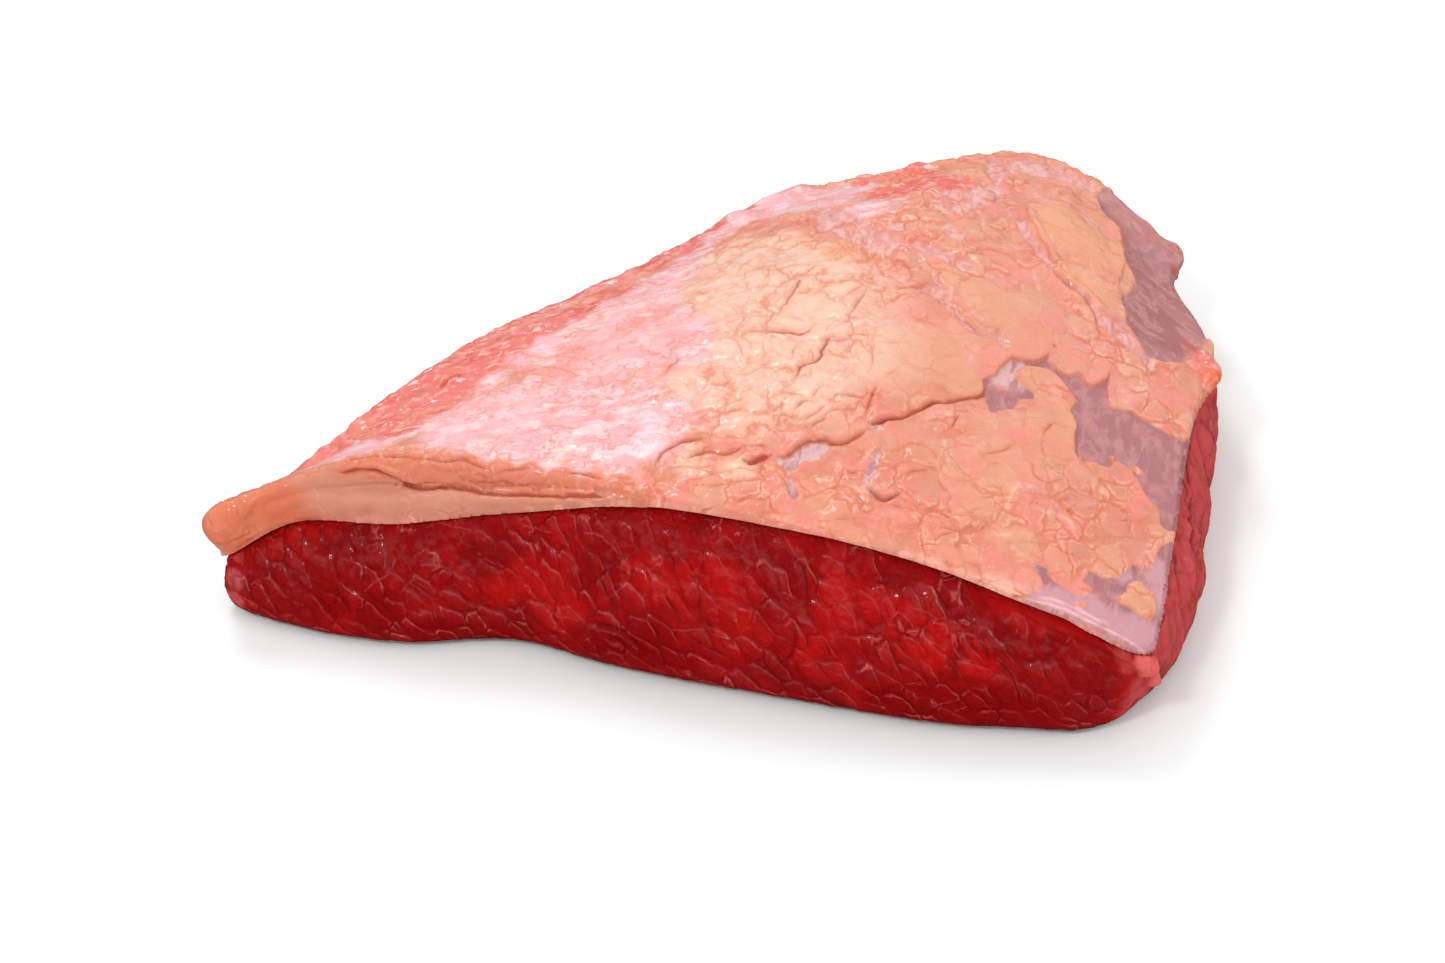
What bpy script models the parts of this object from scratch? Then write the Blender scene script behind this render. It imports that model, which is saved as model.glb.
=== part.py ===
# A raw picanha, the rump cap of beef: a triangular muscle lying on its cut underside, with its fat
# cap grown over the top. Two solids: the lean muscle, and the fat cap that covers it.
#
# Frame: +X runs along the long cut front face, +Y towards the back, +Z up. The origin is on the
# table under the middle of the piece. The dimensions below are in millimetres.
import math

import bpy
import numpy as np
from mathutils import Vector
from mathutils.bvhtree import BVHTree

MM = 0.001

LOOKS = {
    "lean_muscle": dict(colour=(0.32, 0.012, 0.014), roughness=0.3, metallic=0),
    "fat_cap": dict(colour=(0.88, 0.41, 0.29), roughness=0.4, metallic=0),
}

CELLS_ALONG_FRONT = 48  # grid of the top surface
CELLS_ALONG_SIDE = 36
EVENING_PASSES = 300  # of the grid's inner points towards their neighbours
LAYER_GAP = 0.3  # between the two solids, which touch in the real thing

# Stations round the foot of the muscle, anticlockwise seen from above, from the thin left tip.
# Each has the plan place of the foot, and there:
#   edge     height of the muscle's top edge, where the fat starts
#   lean_in  how far that edge lies inside the foot
#   belly    how far the side swells out between them
#   fat      height of the fat's outer face
#   over     how far the fat reaches past the muscle's edge
#   roll     how far the fat's top rounds over before it reaches that face
#   step     how far the upper fat layer is set back behind the lower one, with a slit between
STATIONS = {
    "left_tip": dict(at=(-118, -51.5), edge=14.5, lean_in=1, belly=1, fat=17, over=4.5, roll=4.5, step=0),
    "front_left": dict(at=(-101, -58.5), edge=28, lean_in=11, belly=1, fat=13.5, over=2, roll=3.5, step=1),
    "front_slit": dict(at=(-70, -58.5), edge=32.5, lean_in=11, belly=2, fat=15.5, over=1, roll=4.5, step=3.5),
    "front_notch": dict(at=(-42.5, -50.5), edge=38.5, lean_in=7, belly=0, fat=10, over=1, roll=4.5, step=3.5),
    "front_lobe": dict(at=(-12.5, -54), edge=47.5, lean_in=9, belly=3.5, fat=4.5, over=0, roll=4.5, step=1),
    "front_crown": dict(at=(29, -55), edge=47.5, lean_in=10, belly=3.5, fat=2.5, over=0, roll=4.5, step=0),
    "front_right": dict(at=(65, -55), edge=41.5, lean_in=11, belly=3.5, fat=2.5, over=0, roll=3.5, step=0),
    "front_heel": dict(at=(89, -51.5), edge=35, lean_in=7, belly=2.5, fat=2.5, over=0, roll=3.5, step=0),
    "heel": dict(at=(103.5, -48.5), edge=31.5, lean_in=3.5, belly=2.5, fat=2.5, over=0, roll=3.5, step=0),
    "right_heel": dict(at=(113.5, -38), edge=25, lean_in=-2.5, belly=2, fat=2, over=0, roll=2.5, step=0),
    "right_low": dict(at=(122.5, -14.5), edge=29, lean_in=5.5, belly=4, fat=2, over=0, roll=3.5, step=0),
    "right_mid": dict(at=(121.5, 38), edge=32.5, lean_in=6.5, belly=2.5, fat=2, over=0, roll=4.5, step=0),
    "right_high": dict(at=(117, 71), edge=28, lean_in=1, belly=2, fat=3.5, over=1, roll=6.5, step=0),
    "right_top": dict(at=(103.5, 109), edge=23.5, lean_in=3.5, belly=2, fat=3.5, over=1, roll=7, step=0),
    "back_heel": dict(at=(91, 134), edge=26, lean_in=4.5, belly=2, fat=4.5, over=2.5, roll=8, step=0),
    "back_crown": dict(at=(54, 153), edge=29.5, lean_in=4.5, belly=2, fat=6.5, over=2.5, roll=9, step=0),
    "back": dict(at=(7, 128), edge=29.5, lean_in=4.5, belly=2, fat=5.5, over=2.5, roll=9, step=0),
    "back_lobe": dict(at=(-16, 114.5), edge=29.5, lean_in=4.5, belly=2, fat=5.5, over=2.5, roll=9, step=0),
    "back_left": dict(at=(-45, 67.5), edge=29.5, lean_in=4.5, belly=2, fat=5.5, over=2.5, roll=9, step=0),
    "left": dict(at=(-79, 25), edge=29.5, lean_in=4.5, belly=2, fat=6.5, over=2.5, roll=7, step=0),
    "left_low": dict(at=(-102.5, -28), edge=26, lean_in=3.5, belly=1, fat=9, over=2.5, roll=6.5, step=0),
}
GRID_CORNERS = ("left_tip", "right_heel", "back_heel", "back")

MUSCLE_CROWN = 13  # rise of the muscle's top over a surface stretched across its edge
CROWN_FULLNESS = 0.8  # lower is flatter in the middle and steeper at the edge
FAT_MIDDLE = 6.5  # thickness of the fat in the middle of the cap
LIP = 1  # rounding under the fat's outer face
SLIT_HEIGHT = 0.62  # of the fat's face
SLIT_DEPTH = 1.6  # times the step
FOOT_ROUND = 4  # rounding under the muscle's side, inward and upward
SIDE_SHARES = (0, 0.12, 0.28, 0.46, 0.64, 0.82, 1)  # rows down the muscle's side
ROLL_SHARES = (0.3, 0.65, 1)  # rows over the fat's rounded edge
ROLL_SLOPE_OVER = 5.5  # distance that the slope at the top's rim is taken over

# Lobes and sinks of the fat's top: plan place, reach to each side along X and Y, and rise.
SWELLS = {
    "middle_dome": dict(at=(14.5, 16), reach=(45, 30.5), rise=2),
    "middle_lobe": dict(at=(30.5, -5.5), reach=(23.5, 14.5), rise=1.5),
    "front_lobe": dict(at=(72, -16), reach=(27, 16), rise=2),
    "back_lobe_left": dict(at=(38, 86.5), reach=(18, 30.5), rise=2),
    "back_lobe_right": dict(at=(72, 93.5), reach=(14.5, 27), rise=2.5),
    "upper_right_lobe": dict(at=(65, 47), reach=(16, 14.5), rise=1.5),
    "left_flat": dict(at=(-39.5, 0), reach=(25, 21.5), rise=-1.5),
    "sink_by_fissure": dict(at=(27, -30.5), reach=(12.5, 5.5), rise=-1.5),
    "sink_middle": dict(at=(74.5, 18), reach=(11.5, 7), rise=-2),
    "sink_right": dict(at=(98, 20), reach=(11, 16), rise=-2),
    "sink_back_right": dict(at=(97, 77.5), reach=(9, 23.5), rise=-2),
    "sink_heel": dict(at=(97, -38), reach=(18, 7), rise=-1.5),
}
# Grooves between the lobes, as plan paths.
FISSURES = {
    "long": dict(path=((2, -36), (18, -29.5), (37, -18), (47.5, -6.5), (65, 15.5)), reach=6.5, rise=-1.5),
    "back": dict(path=((55, 115), (56, 90), (63, 65), (83, 50.5)), reach=6.5, rise=-1.5),
}
RELIEF_FADE = 3  # cells from the top's rim over which the relief grows to its full height

# Tags and bulges at the edge: centre, reach, and how far its middle is pushed.
TAGS = {
    "flap": dict(at=(98, 120.5, 28), reach=7, push=(6.5, 2, -1)),
    "nub": dict(at=(118, 64, 31.5), reach=4.5, push=(2.5, 0, 1)),
    "corner_tag": dict(at=(116, -40.5, 25), reach=5.5, push=(2, -2, -2)),
    "left_knob": dict(at=(-119.5, -51.5, 21.5), reach=7, push=(-1, 0, 2)),
}
TAG_FADED = 0.001  # share of the push that counts as none
# Upright folds of the muscle's right side, by distance along the foot from the right heel.
FOLDS = {"first": 25, "second": 56, "third": 79, "fourth": 115}
FOLD_REACH = 6.5
FOLD_DEPTH = 1.5


def closed_spline(values, places, at):
    """Catmull-Rom curve through the stations' values. It closes at the last of the places."""
    values = np.asarray(values, float)
    i = np.clip(np.searchsorted(places, at, side="right") - 1, 0, len(values) - 1)
    share = (at - places[i]) / (places[i + 1] - places[i])
    if values.ndim > 1:
        share = share[:, None]
    before, start, end, after = (values[(i + k) % len(values)] for k in (-1, 0, 1, 2))
    return 0.5 * (
        2 * start
        + (end - before) * share
        + (2 * before - 5 * start + 4 * end - after) * share**2
        + (3 * start - before - 3 * end + after) * share**3
    )


def side_columns():
    """The stations' values at each column of the side, and the outward direction there."""
    stations = list(STATIONS.values())
    feet = np.array([s["at"] for s in stations], float)
    steps = np.linalg.norm(np.roll(feet, -1, axis=0) - feet, axis=1)
    places = np.concatenate([[0], np.cumsum(steps)])
    corners = [places[list(STATIONS).index(name)] for name in GRID_CORNERS] + [places[-1]]
    cells = (CELLS_ALONG_FRONT, CELLS_ALONG_SIDE, CELLS_ALONG_FRONT, CELLS_ALONG_SIDE)
    sides = zip(corners[:-1], corners[1:], cells)
    at = np.concatenate([np.linspace(start, end, n, endpoint=False) for start, end, n in sides])
    made = {"foot": closed_spline(feet, places, at)}
    for key in ("edge", "lean_in", "belly", "fat", "over", "roll", "step"):
        made[key] = closed_spline([s[key] for s in stations], places, at)
    for key in ("belly", "over", "step"):
        made[key] = np.maximum(made[key], 0)
    along = np.roll(made["foot"], -1, axis=0) - np.roll(made["foot"], 1, axis=0)
    along /= np.linalg.norm(along, axis=1)[:, None]
    made["out"] = np.stack([along[:, 1], -along[:, 0]], axis=1)
    past_heel = at - corners[1]
    made["fold"] = sum(np.exp(-(((past_heel - place) / FOLD_REACH) ** 2)) for place in FOLDS.values())
    return made


def out_from(columns, start, distance, height):
    """Points at a distance outward from a row of plan places, at a height."""
    plan = start + columns["out"] * np.broadcast_to(distance, len(start))[:, None]
    return np.column_stack([plan, np.broadcast_to(height, len(start))])


def stretched(rim, cells_x, cells_y):
    """A patch over a closed rim of values, as rows from front to back, evened out inside."""
    rim = np.asarray(rim, float).reshape(len(rim), -1)
    front = rim[: cells_x + 1]
    right = rim[cells_x : cells_x + cells_y + 1]
    back = rim[cells_x + cells_y : 2 * cells_x + cells_y + 1][::-1]
    left = np.concatenate([rim[2 * cells_x + cells_y :], rim[:1]])[::-1]
    u = np.linspace(0, 1, cells_x + 1)[None, :, None]
    v = np.linspace(0, 1, cells_y + 1)[:, None, None]
    ahead = (1 - v) * front[None] + v * back[None]
    across = (1 - u) * left[:, None] + u * right[:, None]
    near = (1 - v) * ((1 - u) * front[0] + u * front[-1])
    far = v * ((1 - u) * back[0] + u * back[-1])
    grid = ahead + across - near - far
    for _ in range(EVENING_PASSES):
        beside = grid[1:-1, 2:] + grid[1:-1, :-2] + grid[2:, 1:-1] + grid[:-2, 1:-1]
        grid[1:-1, 1:-1] = beside / 4
    return grid


def crown(cells_x, cells_y):
    """A dome over a grid, 0 at its rim and 1 in its middle."""
    u = np.linspace(-1, 1, cells_x + 1)[None, :]
    v = np.linspace(-1, 1, cells_y + 1)[:, None]
    return ((1 - u**2) * (1 - v**2)) ** CROWN_FULLNESS


def muscle_top(columns, every):
    """The muscle's top surface, on a grid that takes each nth column of the side."""
    cells = CELLS_ALONG_FRONT // every, CELLS_ALONG_SIDE // every
    edge = out_from(columns, columns["foot"], -columns["lean_in"], columns["edge"])
    grid = stretched(edge[::every], *cells)
    grid[..., 2] += MUSCLE_CROWN * crown(*cells)
    return grid


class Shell:
    """Collects the points and faces of one closed solid."""

    def __init__(self):
        self.points = []
        self.faces = []

    def row(self, points):
        self.points.extend(points)
        return list(range(len(self.points) - len(points), len(self.points)))

    def band(self, low, high):
        """Quads between two closed rows that run anticlockwise, seen from outside."""
        for i in range(len(low)):
            j = (i + 1) % len(low)
            self.faces.append((low[i], low[j], high[j], high[i]))

    def sheet(self, grid, rim, upward):
        """A grid of points inside a row that is already there, whose columns may be finer."""
        rows, across = grid.shape[:2]
        finer = len(rim) // (2 * (rows + across - 2))
        index = np.full((rows, across), -1)
        steps = [(0, 1)] * (across - 1) + [(1, 0)] * (rows - 1)
        steps += [(0, -1)] * (across - 1) + [(-1, 0)] * (rows - 1)
        j, i, between = 0, 0, {}
        for n, (down, right) in enumerate(steps):
            index[j, i] = rim[n * finer]
            between[(j, i, j + down, i + right)] = rim[n * finer + 1 : (n + 1) * finer]
            j, i = j + down, i + right
        for j in range(1, rows - 1):
            index[j, 1:-1] = self.row(grid[j, 1:-1])
        for j in range(rows - 1):
            for i in range(across - 1):
                corners = [(j, i), (j, i + 1), (j + 1, i + 1), (j + 1, i)]
                inmost = int(j < rows // 2) * 2 + int((i < across // 2) != (j < rows // 2))
                corners = corners[inmost:] + corners[:inmost]
                ring = []
                for a, b in zip(corners, corners[1:] + corners[:1]):
                    ring += [index[a], *between.get((*a, *b), ())]
                for b, c in zip(ring[1:], ring[2:]):
                    self.faces.append((ring[0], b, c) if upward else (ring[0], c, b))

    def pull_tags(self):
        points = np.array(self.points)
        for tag in TAGS.values():
            near = np.exp(-((np.linalg.norm(points - tag["at"], axis=1) / tag["reach"]) ** 2))
            near[near < TAG_FADED] = 0
            points += near[:, None] * tag["push"]
        self.points = points

    def to_object(self, name, material):
        mesh = bpy.data.meshes.new(name)
        faces = [tuple(int(i) for i in face) for face in self.faces]
        mesh.from_pydata((self.points * MM).tolist(), [], faces)
        mesh.shade_smooth()
        mesh.materials.append(material)
        made = bpy.data.objects.new(name, mesh)
        bpy.context.scene.collection.objects.link(made)
        return made


def lean_muscle(columns):
    shell = Shell()
    rows = []
    for share in SIDE_SHARES:
        swell = columns["belly"] - FOLD_DEPTH * columns["fold"]
        distance = swell * math.sin(math.pi * share) - columns["lean_in"] * (1 - share) ** 1.5
        height = FOOT_ROUND + (columns["edge"] - FOOT_ROUND) * (1 - share)
        rows.append(shell.row(out_from(columns, columns["foot"], distance, height)))
    half = math.sqrt(0.5)
    for inward, height in ((1 - half, 1 - half), (1, 0)):
        place = out_from(columns, columns["foot"], -FOOT_ROUND * inward, FOOT_ROUND * height)
        rows.append(shell.row(place))
    for high, low in zip(rows, rows[1:]):
        shell.band(low, high)
    shell.sheet(muscle_top(columns, 2), rows[0], upward=True)
    foot = out_from(columns, columns["foot"], -FOOT_ROUND, 0)[::4]
    shell.sheet(stretched(foot, CELLS_ALONG_FRONT // 4, CELLS_ALONG_SIDE // 4), rows[-1], upward=False)
    return shell


def fat_cap(columns):
    shell = Shell()
    under = muscle_top(columns, 2) + (0, 0, LAYER_GAP)
    over, step, fat = columns["over"], columns["step"], columns["fat"]
    edge = columns["foot"] - columns["out"] * columns["lean_in"][:, None]
    low = columns["edge"] + LAYER_GAP
    roll_in = columns["roll"] + step

    top_edge = out_from(columns, edge, over - roll_in, 0)
    top = stretched(top_edge, CELLS_ALONG_FRONT, CELLS_ALONG_SIDE)
    cells = CELLS_ALONG_FRONT, CELLS_ALONG_SIDE
    thick = stretched(fat, *cells)[..., 0]
    thick = thick + (FAT_MIDDLE - thick) * crown(*cells)
    top[..., 2] = heights_under(top, muscle_top(columns, 1)) + LAYER_GAP + thick
    top[..., 2] += relief(top[..., :2])

    rim = out_from(columns, edge, 0, low)
    rows = [shell.row(rim)]
    slit = low + fat * SLIT_HEIGHT
    face_top = low + fat * 0.8
    lip = np.minimum(LIP, fat * 0.2)
    profile = [
        (over * 0.7, low + lip * 0.15),
        (over, low + lip),
        (over, (low + lip + slit) / 2),
        (over - 0.1 * step, slit - 0.08 * fat),
        (over - SLIT_DEPTH * step, slit),
        (over - step, slit + 0.06 * fat),
        (over - step, face_top),
    ]
    top_height, inner_height = rim_of(top[..., 2]), rim_of(top[1:-1, 1:-1, 2])
    slope = (inner_height - top_height) / ROLL_SLOPE_OVER
    turning = np.maximum(top_height - slope * columns["roll"], face_top)
    for share in ROLL_SHARES:
        distance = over - step - columns["roll"] * share**2
        height = (1 - share) ** 2 * face_top + 2 * share * (1 - share) * turning
        profile.append((distance, height + share**2 * top_height))
    for distance, height in profile:
        rows.append(shell.row(out_from(columns, edge, distance, height)))
    for low_row, high_row in zip(rows, rows[1:]):
        shell.band(low_row, high_row)
    shell.sheet(top, rows[-1], upward=True)
    shell.sheet(under, rows[0], upward=False)
    return shell


def relief(places):
    """Rise of the fat's top over its smooth form, none at the rim of the grid of plan places."""
    rise = np.zeros(places.shape[:2])
    for swell in SWELLS.values():
        away = (places - swell["at"]) / swell["reach"]
        rise += swell["rise"] * np.exp(-(away**2).sum(axis=-1))
    for fissure in FISSURES.values():
        path = np.array(fissure["path"], float)
        away = np.full(places.shape[:2], np.inf)
        for start, end in zip(path, path[1:]):
            leg = end - start
            share = np.clip(((places - start) @ leg) / (leg @ leg), 0, 1)
            gap = np.linalg.norm(places - start - share[..., None] * leg, axis=-1)
            away = np.minimum(away, gap)
        rise += fissure["rise"] * np.exp(-((away / fissure["reach"]) ** 2))
    rows, across = rise.shape
    cells_in = np.minimum(np.arange(rows), np.arange(rows)[::-1])[:, None]
    cells_in = np.minimum(cells_in, np.minimum(np.arange(across), np.arange(across)[::-1]))
    return rise * np.clip(cells_in / RELIEF_FADE, 0, 1)


def rim_of(heights):
    """Values round the rim of a grid, in the order of the side's columns.

    A grid smaller by one cell each way gives its corner values to the columns beside them too.
    """
    rows, across = CELLS_ALONG_SIDE + 1, CELLS_ALONG_FRONT + 1
    if heights.shape != (rows, across):
        heights = np.pad(heights, 1, mode="edge")
    front, right = heights[0, :-1], heights[:-1, -1]
    back, left = heights[-1, :0:-1], heights[:0:-1, 0]
    return np.concatenate([front, right, back, left])


def heights_under(places, surface):
    """Heights of a gridded surface at plan places, or of its nearest edge outside it."""
    rows, across = surface.shape[:2]
    corners = [Vector(p) for p in surface.reshape(-1, 3)]
    faces = []
    for j in range(rows - 1):
        for i in range(across - 1):
            a = j * across + i
            faces += [(a, a + 1, a + across + 1), (a, a + across + 1, a + across)]
    tree = BVHTree.FromPolygons(corners, faces)
    found = np.empty(places.shape[:2])
    for at, place in np.ndenumerate(np.empty(places.shape[:2])):
        x, y = places[at][:2]
        hit = tree.ray_cast(Vector((x, y, 1000)), Vector((0, 0, -1)))[0]
        if hit is None:
            hit = min(corners, key=lambda p: (p.x - x) ** 2 + (p.y - y) ** 2)
        found[at] = hit.z
    return found


def plain_material(name):
    look = LOOKS[name]
    made = bpy.data.materials.new(name)
    made.use_nodes = True
    shader = made.node_tree.nodes["Principled BSDF"]
    shader.inputs["Base Color"].default_value = (*look["colour"], 1)
    shader.inputs["Roughness"].default_value = look["roughness"]
    shader.inputs["Metallic"].default_value = look["metallic"]
    return made


def main():
    for obj in list(bpy.data.objects):
        bpy.data.objects.remove(obj)
    columns = side_columns()
    shells = {"lean_muscle": lean_muscle(columns), "fat_cap": fat_cap(columns)}
    for shell in shells.values():
        shell.pull_tags()
    points = np.concatenate([shell.points for shell in shells.values()])
    middle = (points.min(axis=0) + points.max(axis=0)) / 2
    for name, shell in shells.items():
        shell.points = shell.points - (middle[0], middle[1], 0)
        shell.to_object(name, plain_material(name))


main()
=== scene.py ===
import math

import bmesh
import bpy
import numpy as np
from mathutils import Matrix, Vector
from mathutils.bvhtree import BVHTree


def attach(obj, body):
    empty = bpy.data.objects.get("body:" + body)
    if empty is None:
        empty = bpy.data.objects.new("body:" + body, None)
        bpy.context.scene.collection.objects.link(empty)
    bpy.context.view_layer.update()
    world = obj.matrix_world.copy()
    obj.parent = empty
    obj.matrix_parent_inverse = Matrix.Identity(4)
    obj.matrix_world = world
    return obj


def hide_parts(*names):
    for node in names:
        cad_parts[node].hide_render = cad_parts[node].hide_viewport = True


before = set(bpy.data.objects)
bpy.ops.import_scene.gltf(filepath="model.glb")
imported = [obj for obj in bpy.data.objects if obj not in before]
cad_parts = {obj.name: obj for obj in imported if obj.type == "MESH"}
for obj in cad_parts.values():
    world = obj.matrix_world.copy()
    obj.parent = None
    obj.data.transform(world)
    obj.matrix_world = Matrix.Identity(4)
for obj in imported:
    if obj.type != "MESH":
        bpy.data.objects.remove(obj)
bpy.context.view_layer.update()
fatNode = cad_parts["fat_cap"]
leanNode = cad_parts["lean_muscle"]
mm = 0.001
xAxis, yAxis, zAxis = (1.0, 0.0, 0.0), (0.0, 1.0, 0.0), (0.0, 0.0, 1.0)

# The photograph's camera; its angles are in degrees and its lens in millimetres.
photo = {
    "width": 1445,
    "height": 963,
    "lens": 85,
    "sensor": 36,
    "azimuth": 14,
    "elevation": 39,
    "distance": 0.8775,
    "target": (-0.00135, -0.04722, 0.0225),
    "middle": (720, 430),  # a pixel well inside the meat
}


def cameraAxes():
    turn, tilt = math.radians(photo["azimuth"]), math.radians(photo["elevation"])
    back = Vector((math.sin(turn) * math.cos(tilt), -math.cos(turn) * math.cos(tilt), math.sin(tilt)))
    right = Vector((math.cos(turn), math.sin(turn), 0))
    return back, right, back.cross(right)


def surfaceAt(tree, x, y):
    # Where the photograph's pixel lies on a solid, and its normal. A pixel just off it is drawn
    # towards the middle, and the third value says in how many tries.
    mostTries, pixelStep = 60, 1.5
    back, right, up = cameraAxes()
    eye = Vector(photo["target"]) + photo["distance"] * back
    focal = photo["lens"] / photo["sensor"] * photo["width"]
    for tries in range(mostTries):
        across, down = x - photo["width"] / 2, y - photo["height"] / 2
        ray = (across * right - down * up - focal * back).normalized()
        place, normal, _, _ = tree.ray_cast(eye, ray)
        if place is not None:
            return place, normal, tries
        gap = Vector(photo["middle"]) - Vector((x, y))
        x, y = Vector((x, y)) + pixelStep * gap.normalized()
    raise ValueError(f"no surface under pixel {x:.0f}, {y:.0f}")


def surfaceTree(node):
    points = [v.co.copy() for v in node.data.vertices]
    return BVHTree.FromPolygons(points, [p.vertices[:] for p in node.data.polygons])


fatTree = surfaceTree(fatNode)
leanTree = surfaceTree(leanNode)


class Field:
    # A node's output in a formula: each sign in it adds a math node to the same tree.
    def __init__(self, graph, socket):
        self.graph = graph
        self.socket = socket
        self.isVector = socket.type in ("VECTOR", "RGBA")

    def math(self, operation, *others):
        return self.graph.math(operation, self, *others)

    def least(self, other):
        return self.math("MINIMUM", other)

    def most(self, other):
        return self.math("MAXIMUM", other)

    def dot(self, other):
        return self.graph.vectorMath("DOT_PRODUCT", "Value", self, other)

    def hill(self, width):
        # 1 where the value is 0, falling to 0 either side over about that width
        share = self / width
        return (share * share * -1).math("EXPONENT")

    def rise(self, low, high, bottom=0.0, top=1.0):
        # a smooth step from the bottom at the low value to the top at the high one
        into = {0: self, 1: low, 2: high, 3: bottom, 4: top}
        return self.graph.field("ShaderNodeMapRange", into, interpolation_type="SMOOTHSTEP")


def addSign(name, operation):
    setattr(Field, f"__{name}__", lambda self, other: self.graph.math(operation, self, other))
    setattr(Field, f"__r{name}__", lambda self, other: self.graph.math(operation, other, self))


for sign, operation in {"add": "ADD", "sub": "SUBTRACT", "mul": "MULTIPLY", "truediv": "DIVIDE"}.items():
    addSign(sign, operation)


class Graph:
    # Adds nodes to a tree. An input is a number, a tuple, a name, or another node's output.
    def __init__(self, tree):
        self.tree = tree

    def add(self, kind, into=None, **settings):
        node = self.tree.nodes.new(kind)
        place = len(self.tree.nodes)
        node.location = (place % 16 * 190, -(place // 16) * 320)
        for name, value in settings.items():
            setattr(node, name, value)
        for key, value in (into or {}).items():
            if isinstance(value, Field):
                self.tree.links.new(value.socket, node.inputs[key])
            else:
                node.inputs[key].default_value = value
        return node

    def field(self, kind, into=None, output=0, **settings):
        return Field(self, self.add(kind, into, **settings).outputs[output])

    def vectorMath(self, operation, output, *values):
        return self.field("ShaderNodeVectorMath", dict(enumerate(values)), output, operation=operation)

    def math(self, operation, *values):
        areVectors = [isinstance(v, tuple) or isinstance(v, Field) and v.isVector for v in values]
        if not any(areVectors):
            return self.field("ShaderNodeMath", dict(enumerate(values)), operation=operation)
        if operation == "MULTIPLY" and not all(areVectors):
            vector, scale = values if areVectors[0] else values[::-1]
            return self.field("ShaderNodeVectorMath", {0: vector, "Scale": scale}, operation="SCALE")
        return self.vectorMath(operation, "Vector", *values)

    def mix(self, share, first, second):
        return self.field("ShaderNodeMix", {0: share, 2: first, 3: second}, data_type="FLOAT")

    def tint(self, share, first, second):
        # 6, 7 and 2 are the colour sockets of a node that also has number and vector ones
        into = {0: share, 6: colour(first), 7: colour(second)}
        return self.field("ShaderNodeMix", into, 2, data_type="RGBA")

    def vector(self, *parts):
        return self.field("ShaderNodeCombineXYZ", dict(enumerate(parts)))

    def noise(self, where, size, detail=2.0, rough=0.5, kind="FBM", output=0):
        into = {"Vector": where, "Scale": 1 / size, "Detail": detail, "Roughness": rough}
        return self.field("ShaderNodeTexNoise", into, output, noise_type=kind)

    def sway(self, where, size, detail=2.0):
        # noise that swings about zero
        return self.noise(where, size, detail) - 0.5

    def wander(self, where, size, reach, detail=2.0):
        # the place, moved about by noise of that size and reach
        return where + (self.noise(where, size, detail, output="Color") - (0.5, 0.5, 0.5)) * (reach * 2)

    def cells(self, where, size, feature="F1", output="Distance"):
        return self.field("ShaderNodeTexVoronoi", {"Vector": where, "Scale": 1 / size}, output, feature=feature)

    def edges(self, where, size):
        # distance to the nearest cell border, in the same unit as the place
        return self.cells(where, size, "DISTANCE_TO_EDGE") * size


def colour(value):
    return (*value, 1.0) if isinstance(value, tuple) and len(value) == 3 else value


def openTree(name, kind, inputs, outputs):
    # A tree with named inputs and outputs, each given as the kind of its socket. A number or a
    # material stands for its own kind, and is the input's value.
    tree = bpy.data.node_groups.new(name, kind)
    for label, given in inputs.items():
        isMaterial = isinstance(given, bpy.types.Material)
        socketKind = given if isinstance(given, str) else "Material" if isMaterial else "Float"
        socket = tree.interface.new_socket(label, in_out="INPUT", socket_type="NodeSocket" + socketKind)
        if given is not socketKind:
            socket.default_value = given
    for label, socketKind in outputs.items():
        tree.interface.new_socket(label, in_out="OUTPUT", socket_type="NodeSocket" + socketKind)
    graph = Graph(tree)
    entry = graph.add("NodeGroupInput")
    return graph, {label: Field(graph, entry.outputs[label]) for label in inputs}


def sizeInputs(settings, *labels):
    # Inputs with the values that a piece's dictionary has for them, such as lobeSize for Lobe Size.
    return {label: settings[label[0].lower() + label[1:].replace(" ", "")] for label in labels}


def applyTree(piece, tree, values):
    # Runs a Geometry Nodes tree on a piece and keeps the result as its plain mesh.
    modifier = piece.modifiers.new("relief", "NODES")
    modifier.node_group = tree
    for item in tree.interface.items_tree:
        if item.in_out == "INPUT" and item.name in values:
            modifier[item.identifier] = values[item.name]
    bakeModifiers(piece)


def bakeModifiers(piece):
    bpy.context.view_layer.update()
    depsgraph = bpy.context.evaluated_depsgraph_get()
    shown = piece.evaluated_get(depsgraph)
    mesh = bpy.data.meshes.new_from_object(shown, preserve_all_data_layers=True, depsgraph=depsgraph)
    old = piece.data
    piece.modifiers.clear()
    piece.data = mesh
    mesh.name = piece.name
    bpy.data.meshes.remove(old)


def addObject(name, data):
    thing = bpy.data.objects.new(name, data)
    bpy.context.scene.collection.objects.link(thing)
    return thing


# How a solid becomes a dense mesh; angles in degrees.
meshing = {
    "mergeWithin": 1e-6,
    "facetAngle": 40,
    "facetShape": 60,
    "roundings": 2,
    "marginRings": 6,  # kept dense round what shows
}


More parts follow.
